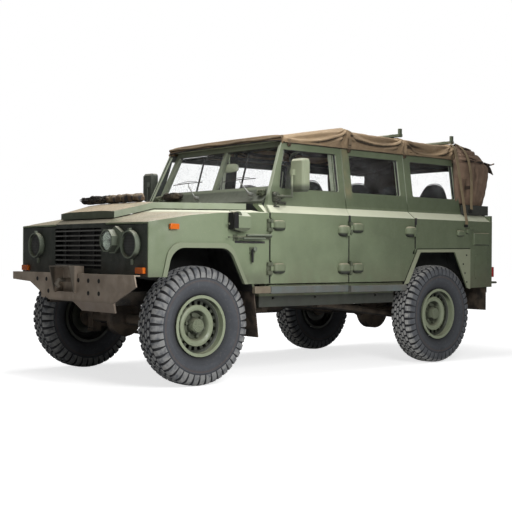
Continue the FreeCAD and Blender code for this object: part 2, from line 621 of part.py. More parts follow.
def floor_pan():
    """Floor with the gearbox tunnel, and the two boxes over the rear wheels."""
    y = BODY_Y - 53
    front = box(BULKHEAD_X, REAR_X + 485, -y, y, FLOOR_Z - 10, FLOOR_Z)
    rear = box(REAR_X + 485, BODY_REAR_X + 48, -HOUSING_Y - 8, HOUSING_Y + 8, FLOOR_Z - 10, FLOOR_Z)
    tunnel = box(BULKHEAD_X - 12, -1420, -TUNNEL_Y, TUNNEL_Y, FLOOR_Z - 10, TUNNEL_Z)
    hollow = box(BULKHEAD_X + 40, -1410, -TUNNEL_Y + 8, TUNNEL_Y - 8, FLOOR_Z - 30, TUNNEL_Z - 8)
    boxes = both(wheel_housing([(REAR_X + 493, FLOOR_Z - 10), (REAR_X + 325, 1012), (REAR_X - 375, 1012),
                                (REAR_X - 477, FLOOR_Z - 10)], HOUSING_Y, BODY_Y - SKIN - SEAT))
    ribs = [box(x, x - 26, s * 250, s * (y - 140), FLOOR_Z - 1, FLOOR_Z + 6) for s in (1, -1)
            for x in (-1500, -1560, -1620)]
    pan = fuse([front, rear, tunnel] + boxes + ribs).cut(hollow)
    posts = both(band(PILLAR_DEPTH - 2, PILLAR_DEPTH + 44, 600, 760, B_POST[0] + 1, B_POST[1] - 1))
    return without(pan, posts)


def bulkhead():
    """Wall between engine bay and cabin, with the dashboard behind it and the bonnet's hinge pins ahead."""
    half = [(body_y(z) - PILLAR_DEPTH, z) for z in (FLOOR_Z + SEAT, BELT_Z, SHOULDER_Z, 1318)]
    wall = cross(half + [(-y, z) for y, z in reversed(half)], BULKHEAD_X - 12, BULKHEAD_X)
    wall = wall.cut(box(-700, -600, -TUNNEL_Y - SEAT, TUNNEL_Y + SEAT, 600, TUNNEL_Z + SEAT))
    y = body_y(1330) - DOOR_T - 15
    x = BULKHEAD_X - 12
    dash = side([(x + 2, 1150), (x + 2, 1310), (DASH_X, 1330, 30), (DASH_X, 1180, 20)], -y, y)
    hollow = side([(x, 1160), (x, 1302), (DASH_X + 12, 1318, 24), (DASH_X + 12, 1190, 16)], -y + 10, y - 10)
    hx, hz = BONNET_HINGE_X, BONNET_HINGE_Z
    mounts = []
    for yh in (-430, 430):
        mounts.append(rod((hx, yh - 50, hz), (hx, yh + 50, hz), PIN_R))
        for a, b in ((-50, -36), (36, 50)):
            mounts.append(box(BULKHEAD_X - 6, hx, yh + a, yh + b, hz - 9, hz + 9))
            mounts.append(rod((hx, yh + a, hz), (hx, yh + b, hz), 9))
    return fuse([wall, dash.cut(hollow)] + mounts)


SCREEN_LOW = (-744, 1418)
SCREEN_TOP = (-905, 1812)
SCREEN_T = 38
SCREEN_BORDER = 46


def screen_point(t):
    """x and z on the windscreen's outer face at share t of its height."""
    return tuple(a + (b - a) * t for a, b in zip(SCREEN_LOW, SCREEN_TOP))


def screen_half(t):
    """Half width of the windscreen frame at share t of its height, clear of the doors' inner faces."""
    return body_y(screen_point(t)[1]) - DOOR_T - 6.5


def screen_strip(t0, t1, d0, d1, border):
    """Slab parallel to the windscreen, from depth d0 to d1 behind its face."""
    run = math.hypot(SCREEN_TOP[0] - SCREEN_LOW[0], SCREEN_TOP[1] - SCREEN_LOW[1])
    ux, uz = (SCREEN_TOP[0] - SCREEN_LOW[0]) / run, (SCREEN_TOP[1] - SCREEN_LOW[1]) / run
    rings = []
    for t in (t0, t1):
        (x, z), y = screen_point(t), screen_half(t) - border
        (xa, za), (xb, zb) = [(x - uz * d, z + ux * d) for d in (d0, d1)]
        rings.append([(xa, -y, za), (xa, y, za), (xb, y, zb), (xb, -y, zb)])
    return loft(rings)


def windscreen_frame():
    """Scuttle panel, and the sloping frame with its two openings."""
    hole = screen_strip(0.10, 0.90, -20, SCREEN_T + 20, SCREEN_BORDER).cut(box(-1100, -600, -16, 16, 1300, 1900))
    y = screen_half(0)
    low_x, low_z = SCREEN_LOW
    scuttle = side([(BULKHEAD_X - 6, 1322), (BULKHEAD_X - 6, 1338), SCREEN_LOW, (low_x - 36, low_z - 14),
                    (low_x - 36, low_z - 28), (low_x - 6, low_z - 22), (BULKHEAD_X - 20, 1322)], -y, y)
    return fuse([screen_strip(0, 1, 0, SCREEN_T, 0).cut(hole), scuttle])


def windscreen_panes():
    """Two flat panes in the windscreen frame."""
    slab = screen_strip(0.10, 0.90, 16, 21, SCREEN_BORDER + SEAT)
    return [slab.common(box(-1200, -600, a, b, 1300, 1900)) for a, b in ((16 + SEAT, 900), (-900, -16 - SEAT))]


def screen_hinge():
    """Left hinge at the foot of the folding windscreen: clevis, pin and bracket on the scuttle's end."""
    y = screen_half(0.0)
    foot = box(-662, -716, y - 96, y - 30, 1395.5, 1404)
    ears = [side([(-676, 1380), (-676, 1424, 14), (-716, 1436, 10), (-716, 1400)], y - a, y - a + 10) for a in (96, 66, 40)]
    pin = rod((-698, y - 104, 1416), (-698, y - 22, 1416), 8)
    return fuse([foot, pin] + ears)


COAMING_Z = 1392


def left_posts():
    """Left sill with the front and middle pillars."""
    y = BODY_Y
    sill = box(-612, REAR_X + 505, y - 115, y - 23, 658, FLOOR_Z - 10 - SEAT)
    lip = box(-612, REAR_X + 505, y - 49, y - 23, 658, SILL_Z - 9)
    a_post = band(PILLAR_DEPTH, PILLAR_DEPTH + 61, 658, 1316, WING_REAR_X - SEAT, BULKHEAD_X + SEAT)
    b_post = band(PILLAR_DEPTH, PILLAR_DEPTH + 42, 658, ROOF_Z, *B_POST)
    beam = box(-560, REAR_X + 560, y - 120, y - 76, 540, 660)
    holes = [rod((x, y - 130, 606), (x, y - 60, 606), 11) for x in (-700, -1140, -1830)]
    return without(fuse([sill, lip, a_post, b_post, beam]), holes)


def quarter():
    """Left quarter panel and rear corner, with the wheel opening, its raised frame and the window."""
    a = ARCH_REAR
    y = BODY_Y
    q0 = REAR_SPLIT_X - GAP / 2
    opening = [(a["low_x"] - 62, FLOOR_Z), (a["top_x"] - 36, 960), (a["back_x"], 966), (a["end_x"] + 4, REAR_LOW_Z - 4)]
    line = [(q0, ROOF_Z), (GREENHOUSE_TOP_X, ROOF_Z), (GREENHOUSE_LOW_X, SHOULDER_Z), (BODY_REAR_X, SHOULDER_Z),
            (BODY_REAR_X, REAR_LOW_Z)] + list(reversed(opening)) + [(a["low_x"], FLOOR_Z), (q0, 950)]
    skin = band(0, SKIN, 600, ROOF_Z, q0, BODY_REAR_X).common(cut_out(line))
    wall = band(SKIN - 1, 42, 1020, ROOF_Z, q0, GREENHOUSE_LOW_X).common(cut_out(line))
    corner = band(SKIN - 1, 42, FLOOR_Z - 10, SHOULDER_Z, REAR_X - 485, BODY_REAR_X)
    jamb = band(20, PILLAR_DEPTH + 42, 1018, ROOF_Z, q0, q0 - 40)
    rear_wall = box(BODY_REAR_X, BODY_REAR_X + 34, TAILGATE_HALF_W + GAP, y - 1, REAR_LOW_Z, 1300)
    tie = box(REAR_X + 375, REAR_X - 285, y - 185, y - SKIN, 1012 + SEAT, 1024)
    x0, x1 = a["back_x"], CORNER_X - 8
    frame = side([(a["low_x"] - 4, FLOOR_Z - 8), (a["top_x"], a["top_z"]), (x1, 994), (x1, 636)] + list(reversed(opening)),
                 y - 1, y + 5)
    filler = box(REAR_X - 421, REAR_X - 643, y - 1, y + 16, 1030, 1142)
    filler = filler.makeChamfer(7, [e for e in filler.Edges if e.BoundBox.YMin > y + 15.5])
    cover = side([(REAR_X - 453, 724, 24), (REAR_X - 453, 942, 24), (REAR_X - 634, 942, 24), (REAR_X - 634, 724, 24)],
                 y - 1, y + 3)
    catches = [box(REAR_X - 358, REAR_X - 430, y - 1, y + 12, 1168, 1192),
               rod((REAR_X - 330, y - 1, 1150), (REAR_X - 330, y + 22, 1150), 20)]
    made = fuse([skin, wall, corner, jamb, rear_wall, tie, frame, filler, cover] + catches)
    return [made.cut(cut_out(window("quarter"))), pad(REAR_X - 182, REAR_X - 280, 1132, 58, 26)]


def coaming():
    """Raised rim round the open rear of the body, on which the curtain rests."""
    front, rear = GREENHOUSE_LOW_X - SEAT, BODY_REAR_X - 10
    out, t = body_y(SHOULDER_Z) + 27, 32
    outer = plan([(front, out), (rear, out), (rear, -out), (front, -out)], SHOULDER_Z + SEAT, COAMING_Z)
    return outer.cut(plan([(front + 50, out - t), (rear + t, out - t), (rear + t, -out + t), (front + 50, -out + t)],
                          SHOULDER_Z - 5, COAMING_Z + 8))


def rear_sill():
    """Cross sill under the tailgate, with the pins of its hinges."""
    x0, z = BODY_REAR_X, TAILGATE_HINGE_Z
    y = TAILGATE_HALF_W + GAP + 80
    made = [box(x0 + 6, x0 + 44, -y, y, 600, REAR_LOW_Z - SEAT)]
    for yh in (-450, 450):
        made.append(rod((x0 - 2, yh - 60, z), (x0 - 2, yh + 60, z), PIN_R))
        for a, b in ((-60, -46), (46, 60)):
            made.append(side([(x0 - 12, z + 10), (x0 + 10, z + 10), (x0 + 40, 640), (x0 + 6, 640)], yh + a, yh + b))
    return fuse(made)


def hinge_posts():
    """Fixed halves of the four door hinges on the left."""
    made = []
    for z in HINGE_Z:
        made.append(hinge_post(FRONT_HINGE_X, z, wing_leaf(FRONT_HINGE_X, z)))
        made.append(hinge_post(MIDDLE_PIN_X, z, pillar_leaf(DOOR_SPLIT_X, z)))
    return made


def tailgate():
    """Drop-down tailgate with pressed ribs, hinged along its lower edge."""
    x0, w = BODY_REAR_X, TAILGATE_HALF_W
    outer = box(x0, x0 + 14, -w, w, 688, 1296)
    inner = box(x0 + 12, x0 + 34, -w + 30, w - 30, 730, 1270)
    ribs = [cross([(-w + 60, z - 22, 18), (-w + 60, z + 22, 18), (w - 60, z + 22, 18), (w - 60, z - 22, 18)],
                  x0 - 7, x0 + 1) for z in (850, 990, 1130)]
    made = [outer, inner] + ribs
    bores = []
    for y in (-450, 450):
        made.append(rod((x0 - 2, y - 40, TAILGATE_HINGE_Z), (x0 - 2, y + 40, TAILGATE_HINGE_Z), 10))
        made.append(box(x0 - 10, x0 + 6, y - 36, y + 36, TAILGATE_HINGE_Z, 790))
        bores.append(rod((x0 - 2, y - 60, TAILGATE_HINGE_Z), (x0 - 2, y + 60, TAILGATE_HINGE_Z), PIN_R + FIT))
    return without(fuse(made), bores)


# ---------------------------------------------------------------- roof
CANVAS_TOP = ((-868, 1862), (-1555, 1962), (-1650, 1948), (REAR_X + 315, 1950), (REAR_X - 360, 1944))   # x, z
CANVAS_T = 9
HOOPS_X = (-1560, REAR_X + 365, REAR_X - 310)


def canvas_z(x):
    """Height of the canvas roof's flat top at x."""
    for (xa, za), (xb, zb) in zip(CANVAS_TOP, CANVAS_TOP[1:]):
        if x >= xb:
            return za + (zb - za) * (xa - x) / (xa - xb)
    return CANVAS_TOP[-1][1]


def canvas_ring(x, z, inside):
    """Section of the canvas roof at x; inside is how far behind the outer face."""
    d = inside
    low = ROOF_Z + 1 - (20 if d else 0)
    half = [(ROOF_Y + 17 - d, low), (ROOF_Y + 11 - d, z - 52), (ROOF_Y - 23 - d * 0.9, z - 16 - d * 0.6),
            (ROOF_Y - 135, z - d)]
    return [(x, y, zz) for y, zz in half + [(-y, zz) for y, zz in reversed(half)]]


def roof_canvas():
    """Canvas roof as a plain shell over the hoops."""
    outer = loft([canvas_ring(x, z, 0) for x, z in CANVAS_TOP])
    first, last = CANVAS_TOP[0], CANVAS_TOP[-1]
    ends = [(first[0] + 12, first[1] - 2)] + list(CANVAS_TOP[1:-1]) + [(last[0] - 20, last[1])]
    return outer.cut(loft([canvas_ring(x, z, CANVAS_T) for x, z in ends]))


def roof_frame():
    """Side rails, the header over the windscreen and three hoops."""
    y = ROOF_Y
    z0 = ROOF_Z + SEAT
    rails = both(cross([(y - 95, z0), (y - 3, z0), (y - 6, ROOF_Z + 26), (y - 95, ROOF_Z + 26)],
                       SCREEN_TOP[0] - 41, REAR_X - 325))
    header = box(SCREEN_TOP[0] + 15, SCREEN_TOP[0] - 55, -y + 35, y - 35, SCREEN_TOP[1] + SEAT, ROOF_Z + 24)
    hoops = []
    for x in HOOPS_X:
        z = min(canvas_z(x - 13), canvas_z(x + 13)) - CANVAS_T - SEAT
        half = [(y - 35, ROOF_Z + 10), (y - 43, z - 40, 60), (y - 175, z, 90)]
        under = [(y - 201, z - 24, 80), (y - 65, z - 62, 50), (y - 59, ROOF_Z + 10)]
        line = half + [(-a, *rest) for a, *rest in reversed(half)]
        line += [(-a, *rest) for a, *rest in reversed(under)] + under
        hoops.append(cross(line, x - 13, x + 13))
    return fuse(rails + [header] + hoops)


POLE_R = 17


def roof_poles():
    """Two poles across the roof, with a clamp and an upright hook at each end."""
    made = []
    for x in (REAR_X + 365, REAR_X - 340):
        z = max(canvas_z(x - POLE_R), canvas_z(x + POLE_R)) + POLE_R + SEAT
        y = ROOF_Y
        pole = rod((x, -y + 108, z), (x, y - 108, z), POLE_R)
        clamps = [box(x - 22, x + 22, s * (y - 135), s * (y - 23), z - 10, z + 12) for s in (1, -1)]
        hooks = [box(x - 15, x + 15, s * (y - 45), s * (y - 23), z - 14, z + 58) for s in (1, -1)]
        made.append(fuse([pole] + clamps + hooks))
    return made


CURTAIN = ((-362, 1940, 0), (-575, 1905, 60), (-685, 1868, 40), (-745, 1800, 30), (-810, 1760, 20),
           (-825, 1640, 40), (-785, 1410, 20))        # x behind the rear axle, z, corner radius
CURTAIN_T = 26
CURTAIN_OPEN_Y, CURTAIN_OPEN_Z = 420, 1765      # the curtain is tied open at the back and on the right


def rear_curtain():
    """Folded rear curtain as a plain shell, from the last hoop down to the coaming, tied open at the back."""
    y = BODY_Y - 95
    z_low = COAMING_Z + SEAT
    line = [(REAR_X + x, z, r) for x, z, r in CURTAIN] + [(BODY_REAR_X - 12, z_low), (GREENHOUSE_LOW_X + 7, z_low),
                                                        (GREENHOUSE_TOP_X - 2, ROOF_Z - 12), (REAR_X - 362, ROOF_Z - 12)]
    outer = side([p if len(p) == 2 or p[2] else p[:2] for p in line], -y, y)
    t = CURTAIN_T
    line = [(REAR_X + x + t * 1.2, z - t, r) for x, z, r in CURTAIN[1:]]
    line = [(REAR_X - 280, CURTAIN[0][1] - t)] + line + [(BODY_REAR_X + 25, z_low - 14), (REAR_X - 280, z_low - 14)]
    hollow = side(line, -y + t, y - t)
    back = box(BODY_REAR_X - 150, BODY_REAR_X - 20, -CURTAIN_OPEN_Y, CURTAIN_OPEN_Y, z_low - 5, CURTAIN_OPEN_Z)
    flank = box(BODY_REAR_X - 66, BODY_REAR_X + 200, -y - 1, -y + t + 1, z_low - 5, CURTAIN_OPEN_Z)
    return outer.cut(fuse([hollow, back, flank]))


# ---------------------------------------------------------------- cabin
SEATS = (     # name, x of the cushion's front, y, width, cushion z, top z
    ("driver", -930, 400, 480, 960, 1560),
    ("passenger", -930, -400, 480, 960, 1560),
    ("rear left", DOOR_SPLIT_X - 160, 305, 540, 960, 1575),
    ("rear right", DOOR_SPLIT_X - 160, -305, 540, 960, 1575),
    ("boot left", REAR_X - 85, (HOUSING_Y - 18) / 2, HOUSING_Y - 138, 980, 1630),
    ("boot right", REAR_X - 85, -(HOUSING_Y - 18) / 2, HOUSING_Y - 138, 980, 1630),
)


def seat(x, y, width, z, top):
    """One seat: plinth, cushion, and a leaning back with a rounded top."""
    w = width / 2
    plinth = box(x - 40, x - 420, y - w + 40, y + w - 40, FLOOR_Z + 6 + SEAT, z - 90)
    feet = [box(x - a - 40, x - a, y - w + 40, y + w - 40, FLOOR_Z + SEAT, FLOOR_Z + 8) for a in (60, 360)]
    cushion = side([(x, z - 20, 30), (x - 30, z - 110, 30), (x - 470, z - 110), (x - 470, z - 30)], y - w, y + w)
    back = cross([(y - w, z - 100), (y - w, top, 110), (y + w, top, 110), (y + w, z - 100)], x - 640, x - 380)
    slab = side([(x - 400, z - 110), (x - 480, top), (x - 580, top), (x - 500, z - 110)], y - w - 5, y + w + 5)
    return fuse([plinth, cushion, back.common(slab)] + feet)


def steering_wheel():
    """Steering wheel on its column, in front of the driver's seat."""
    y, x, z = SEATS[0][2], DASH_X - 105, 1290
    tilt = math.radians(28)
    axis = V(math.cos(tilt), 0, -math.sin(tilt))
    hub = V(x, y, z)
    up = axis.cross(V(0, 1, 0))
    grip = [(14, 188), (14, 200), (6, 209), (-6, 209), (-14, 200), (-14, 188), (-6, 181), (6, 181)]
    made = [turned(grip, (x, y, z), tuple(axis)), Part.makeCylinder(38, 34, hub - axis * 17, axis)]
    made.append(Part.makeCylinder(24, 178, hub - axis * 10, axis).cut(box(DASH_X - SEAT, DASH_X + 300, 100, 700, 900, 1500)))
    for angle in (75, 195, 315):
        a = math.radians(angle)
        made.append(Part.makeCylinder(9, 194, hub, V(0, 1, 0) * math.cos(a) + up * math.sin(a)))
    return fuse(made)


# ---------------------------------------------------------------- chassis
RAIL_Z0, RAIL_Z1 = 562, 655
RAIL_FRONT_Y, RAIL_REAR_Y, RAIL_W, RAIL_T = 335, 440, 60, 6


def rail_outline(grow, past):
    """Plan of the left rail: it spreads behind the front wheels. grow widens it, past lengthens it."""
    y0, y1, w = RAIL_FRONT_Y, RAIL_REAR_Y, RAIL_W
    front, rear = RAIL_FRONT_X + past, REAR_X - 655 - past
    return [(front, y0 - grow), (-480, y0 - grow), (-700, y1 - grow), (rear, y1 - grow), (rear, y1 + w + grow),
            (-712, y1 + w + grow), (-492, y0 + w + grow), (front, y0 + w + grow)]


def chassis_rail():
    """Left chassis rail, a box section with its body mounts and outriggers."""
    rail = plan(rail_outline(0, 0), RAIL_Z0, RAIL_Z1)
    rail = rail.cut(plan(rail_outline(-RAIL_T, 10), RAIL_Z0 + RAIL_T, RAIL_Z1 - RAIL_T))
    y = RAIL_REAR_Y + RAIL_W / 2
    mounts = [rod((x, y, RAIL_Z1 - 3), (x, y, FLOOR_Z - 10 - SEAT), 32) for x in (-800, -1700, REAR_X - 485)]
    arms = [box(x - 25, x + 25, RAIL_REAR_Y + RAIL_W - 3, BODY_Y - 120 - SEAT, 585, 640) for x in (-900, -1900)]
    return fuse([rail] + mounts + arms)


CROSSMEMBERS = (     # name, x, length, z0, z1
    ("front", 470, 60, 575, 645),
    ("gearbox", -820, 70, 520, RAIL_Z0 - SEAT),
    ("middle", -1500, 70, 575, 645),
    ("over the rear axle", REAR_X + 315, 70, 575, 645),
    ("rear", REAR_X - 620, 60, 565, 650),
)
TOW_BORE_R = 15
TOW_X, TOW_Z = BODY_REAR_X - 78, 560


def crossmembers():
    """Members between the rails; the gearbox member hangs below them, and the last carries the tow jaw."""
    made = []
    for name, x, length, z0, z1 in CROSSMEMBERS:
        half = (RAIL_FRONT_Y if x > -480 else RAIL_REAR_Y) - SEAT
        if z1 <= RAIL_Z0:
            half = RAIL_REAR_Y + RAIL_W - 5
        made.append(box(x - length / 2, x + length / 2, -half, half, z0, z1))
    x = CROSSMEMBERS[-1][1] - CROSSMEMBERS[-1][2] / 2
    plate = box(x + 5, BODY_REAR_X + 2, -70, 70, 520, 598)
    jaws = [plan([(BODY_REAR_X + 6, -55), (BODY_REAR_X + 6, 55), (TOW_X - 34, 34, 30), (TOW_X - 34, -34, 30)],
                 z, z + 16) for z in (TOW_Z - 38, TOW_Z + 22)]
    bore = rod((TOW_X, 0, TOW_Z - 60), (TOW_X, 0, TOW_Z + 60), TOW_BORE_R)
    made[-1] = fuse([made[-1], plate] + jaws).cut(bore)
    return made


def engine():
    """Plain block for the engine, on two feet that reach the rails."""
    block = box(260, -430, -200, 200, 590, 1120)
    feet = box(-60, -140, -RAIL_FRONT_Y + SEAT, RAIL_FRONT_Y - SEAT, 595, 640)
    return fuse([block, feet])


def radiator():
    """Radiator behind the grille, standing on the front crossmember."""
    half = KINGPIN_Y - 300
    return box(395, 445, -half, half, 645 + SEAT, 1120)


FRONT_DIFF_Y, REAR_DIFF_Y = -150, 50
PINION_X, PINION_RISE = 142, 15      # pinion flange ahead of or behind the axle, and above its middle
REAR_PINION_X = PINION_X + 48
PINION_Z = TYRE_R + PINION_RISE


def driveline():
    """Gearbox, transfer case and the two propeller shafts."""
    z = PINION_Z
    rear_x = REAR_X + REAR_PINION_X
    gearbox = box(-430 - SEAT, -960, -110, 110, RAIL_Z0, 770)
    transfer = box(-940, -1180, -190, 150, 450, FLOOR_Z - 14)
    front_yoke = rod((-PINION_X, FRONT_DIFF_Y, z), (-PINION_X - 14, FRONT_DIFF_Y, z), 50)
    rear_yoke = rod((rear_x, REAR_DIFF_Y, z), (rear_x + 14, REAR_DIFF_Y, z), 55)
    front_shaft = rod((-950, -150, 495), (-PINION_X - 10, FRONT_DIFF_Y, z), 26)
    rear_shaft = rod((-1170, 40, 545), (rear_x + 10, REAR_DIFF_Y, z), 32)
    return fuse([gearbox, transfer, front_shaft, rear_shaft, rear_yoke, front_yoke])


AXLE_R = 42
YOKE_H = 96           # half height between the yoke arms
KINGPIN_R = 14
SPRINGS = ((0, 365, 52), (REAR_X, 470, 60))      # axle x, y, radius


def spring_pads(x, y):
    """Seats for the two springs on an axle."""
    return [box(x - 45, x + 45, s * y - 60, s * y + 60, TYRE_R + 20, TYRE_R + 52) for s in (1, -1)]


def front_axle():
    """Front axle: beam with the final drive case, and a yoke with two kingpins at each end."""
    y = KINGPIN_Y
    beam = rod((0, -y + 60, TYRE_R), (0, y - 60, TYRE_R), AXLE_R)
    case = turned([(-85, 0), (-85, 60), (-40, 132), (40, 132), (85, 60), (85, 0)], (0, FRONT_DIFF_Y, TYRE_R))
    nose = rod((0, FRONT_DIFF_Y, PINION_Z), (-PINION_X + SEAT, FRONT_DIFF_Y, PINION_Z), 58)
    made = [beam, case, nose] + spring_pads(*SPRINGS[0][:2])
    for s in (1, -1):
        made.append(box(-38, 38, s * (y - 78), s * (y - 55), TYRE_R - YOKE_H - 24, TYRE_R + YOKE_H + 24))
        for up in (1, -1):
            made.append(box(-38, 38, s * (y - 60), s * (y + 8), TYRE_R + up * YOKE_H, TYRE_R + up * (YOKE_H + 24)))
            made.append(rod((0, s * y, TYRE_R + up * (YOKE_H + 24)), (0, s * y, TYRE_R + up * (YOKE_H - 40)), KINGPIN_R))
    return fuse(made)


HUB_R = 27
STUB_END_Y = TRACK / 2 + 20


def knuckle():
    """Left steering knuckle: body between the kingpins, stub axle outwards, and the steering arm behind."""
    y, h = KINGPIN_Y, YOKE_H - 5.5
    core = rod((0, y, TYRE_R - h), (0, y, TYRE_R + h), 34)
    flange = turned([(30, 0), (30, 88), (44, 88), (44, 0)], (0, y, TYRE_R))
    stub = rod((0, y, TYRE_R), (0, STUB_END_Y, TYRE_R), HUB_R)
    arm = box(-25, ARM_X, y - 15, y + 15, ARM_Z - 14, ARM_Z + 14)
    eye = rod((ARM_X, y, ARM_Z - 14), (ARM_X, y, ARM_Z + 14), 24)
    ball_pin = rod((ARM_X, y, ARM_Z), (ARM_X, y, ARM_Z - 58), 9)
    bores = [rod((0, y, TYRE_R + s * (YOKE_H + 10)), (0, y, TYRE_R + s * (YOKE_H - 44)), KINGPIN_R + FIT) for s in (1, -1)]
    return without(fuse([core, flange, stub, arm, eye, ball_pin]), bores)


def track_rod():
    """Track rod with an eye at each end."""
    z = ARM_Z - 40
    bar = rod((ARM_X, -KINGPIN_Y + 15, z), (ARM_X, KINGPIN_Y - 15, z), 14)
    eyes = [rod((ARM_X, s * KINGPIN_Y, z - 15), (ARM_X, s * KINGPIN_Y, z + 15), 22) for s in (1, -1)]
    bores = [rod((ARM_X, s * KINGPIN_Y, z - 30), (ARM_X, s * KINGPIN_Y, z + 30), 9 + FIT) for s in (1, -1)]
    return without(fuse([bar] + eyes), bores)


def rear_axle():
    """Rear axle: beam, final drive case with its cover, and the stub on which each wheel turns."""
    y = TRACK / 2
    beam = rod((REAR_X, -y + 90, TYRE_R), (REAR_X, y - 90, TYRE_R), AXLE_R + 4)
    stubs = [rod((REAR_X, s * (y - 100), TYRE_R), (REAR_X, s * STUB_END_Y, TYRE_R), HUB_R) for s in (1, -1)]
    plates = [rod((REAR_X, s * (y - 95), TYRE_R), (REAR_X, s * (y - 78), TYRE_R), 88) for s in (1, -1)]
    case = turned([(-95, 0), (-95, 70), (-45, 165), (45, 165), (95, 70), (95, 0)], (REAR_X, REAR_DIFF_Y, TYRE_R))
    nose = rod((REAR_X, REAR_DIFF_Y, PINION_Z), (REAR_X + REAR_PINION_X - SEAT, REAR_DIFF_Y, PINION_Z), 62)
    return fuse([beam, case, nose] + stubs + plates + spring_pads(*SPRINGS[1][:2]))


def spring(x, y, r):
    """Coil spring as a turned body with a groove between the coils."""
    z0, z1 = TYRE_R + 52 + SEAT, RAIL_Z0 - SEAT
    turns = 2
    step = (z1 - z0) / turns
    profile = [(z0, 0)]
    for i in range(turns):
        a = z0 + step * i
        profile += [(a, r), (a + step * 0.5, r), (a + step * 0.5, r - 16), (a + step, r - 16)]
    return turned(profile + [(z1, 0)], (x, y, 0), (0, 0, 1))


def axle_arms():
    """Arms that locate the axles on the left, from brackets under the rail."""
    z = TYRE_R - 28
    front = [rod((-48, 330, z), (-900, 462, 500), 22), box(-930, -870, 440, 482, 480, RAIL_Z0 - SEAT)]
    rear = [rod((REAR_X + 52, 452, z), (-1500, 470, 530), 30), box(-1530, -1470, 442, 498, 500, RAIL_Z0 - SEAT)]
    return fuse(front), fuse(rear)


def exhaust():
    """Silencer and pipe along the right of the gearbox."""
    pipe = bent_rod([(-200, -200 - SEAT, 620), (-200, -240, 620), (-420, -300, 480), (REAR_X + 515, -300, 480)], 24)
    return fuse([pipe, rod((-1250, -300, 480), (-1750, -300, 480), 68)])


def fuel_tank():
    """Fuel tank behind the rear axle, on two straps between the rails."""
    x0, x1 = REAR_X - 255, REAR_X - 565
    shell = side([(x0, 450, 30), (x0, 640), (x1, 640), (x1, 450, 30)], -300, 300)
    y = RAIL_REAR_Y - SEAT
    straps = [box(x + 20, x - 20, -y, y, 600, 643) for x in (x0 - 50, x1 + 50)]
    return fuse([shell] + straps)


# ---------------------------------------------------------------- wheels
SLOTS = 20            # ventilation slots round the edge of the wheel disc
STUDS = 6


def wheel_profiles():
    """Turned profiles of one wheel, as (outward from the tyre's middle, radius): barrel, disc, drum, hub."""
    t, w = 6, RIM_HALF_W
    barrel = [(-w, FLANGE_R), (-w + 7, FLANGE_R), (-w + 7, BEAD_R), (-40, BEAD_R - 2), (-30, BEAD_R - 18),
              (30, BEAD_R - 18), (40, BEAD_R - 2), (w - 7, BEAD_R), (w - 7, FLANGE_R), (w, FLANGE_R),
              (w, BEAD_R - t), (46, BEAD_R - 2 - t), (34, BEAD_R - 18 - t), (-34, BEAD_R - 18 - t),
              (-46, BEAD_R - 2 - t), (-w, BEAD_R - t)]
    disc = [(-12, 30), (-12, 96), (26, 114), (36, 128), (30, 143), (18, 147), (18, BEAD_R - 23), (25, BEAD_R - 23),
            (25, 151), (38, 146), (44, 128), (33, 109), (-4, 91), (-4, 30)]
    drum = [(-52, 95), (-52, 140), (-12.5, 140), (-12.5, 30), (-24, 30), (-24, 128), (-44, 128), (-44, 95)]
    hub = [(-24, HUB_R + FIT), (-24, 60), (-4, 60), (30, 54), (52, 50), (58, 42), (58, 0), (24, 0), (24, HUB_R + FIT)]
    return barrel, disc, drum, hub


def rim(side_sign, x):
    """Ventilated steel wheel: deep barrel, dished disc with a ring of slots, drum and hub."""
    s, y = side_sign, side_sign * TRACK / 2
    wheel = fuse([turned([(a * s, b) for a, b in part], (x, y, TYRE_R)) for part in wheel_profiles()])
    slots = []
    for i in range(SLOTS):
        slot = box(x - 14, x + 14, y + s * 10, y + s * 46, TYRE_R + 148, TYRE_R + 176)
        slots.append(slot.rotate(V(x, 0, TYRE_R), V(0, 1, 0), 360 * (i + 0.5) / SLOTS))
    studs = []
    for i in range(STUDS):
        a = 2 * math.pi * (i + 0.25) / STUDS
        cx, cz = x + 78 * math.cos(a), TYRE_R + 78 * math.sin(a)
        studs.append(rod((cx, y - s * 8, cz), (cx, y + s * 20, cz), 11))
    return fuse([without(wheel, slots)] + studs)


def tyre(side_sign, x):
    """Plain tyre carcass on its rim."""
    y = side_sign * TRACK / 2
    w, b, r = TYRE_HALF_W, RIM_HALF_W - 7 - SEAT, TYRE_R
    wall = TYRE_R - BEAD_R
    low, middle, high = BEAD_R + wall * 0.26, BEAD_R + wall * 0.48, BEAD_R + wall * 0.73
    outer = [(b, BEAD_R + SEAT), (b, BEAD_R + 29), (w - 6, low), (w, middle), (w - 3, high), (w - 16, r - 23), (w - 34, r - 9)]
    inner = [(b - 14, BEAD_R + 12), (w - 14, low), (w - 12, middle), (w - 16, high), (w - 38, r - 29)]
    rings = [turned([(-a, c) for a, c in reversed(half)] + half, (x, y, TYRE_R)) for half in (outer, inner)]
    return rings[0].cut(rings[1])


# ---------------------------------------------------------------- other fittings
def rear_lamp():
    """Left rear lamp."""
    return box(BODY_REAR_X - SEAT, BODY_REAR_X - 36, BODY_Y - 53, BODY_Y - 1, 741, 833)


def side_step():
    """Left rock rail below the doors, in two lengths on brackets from the sill."""
    made = []
    for x0, x1, z0, z1 in ((-603, DOOR_SPLIT_X + 21, 642, 698), (DOOR_SPLIT_X - 12, REAR_X + 495, 636, 690)):
        tube = cross([(BODY_Y - 17, z0, 8), (BODY_Y - 17, z1, 8), (BODY_Y + 15, z1, 8), (BODY_Y + 15, z0, 8)], x0, x1)
        arms = [box(x, x - 40, BODY_Y - 23 + SEAT, BODY_Y - 15, max(z0, 658) + 5, z1 - 5) for x in (x0 - 100, x1 + 140)]
        made.append(fuse([tube] + arms))
    return made


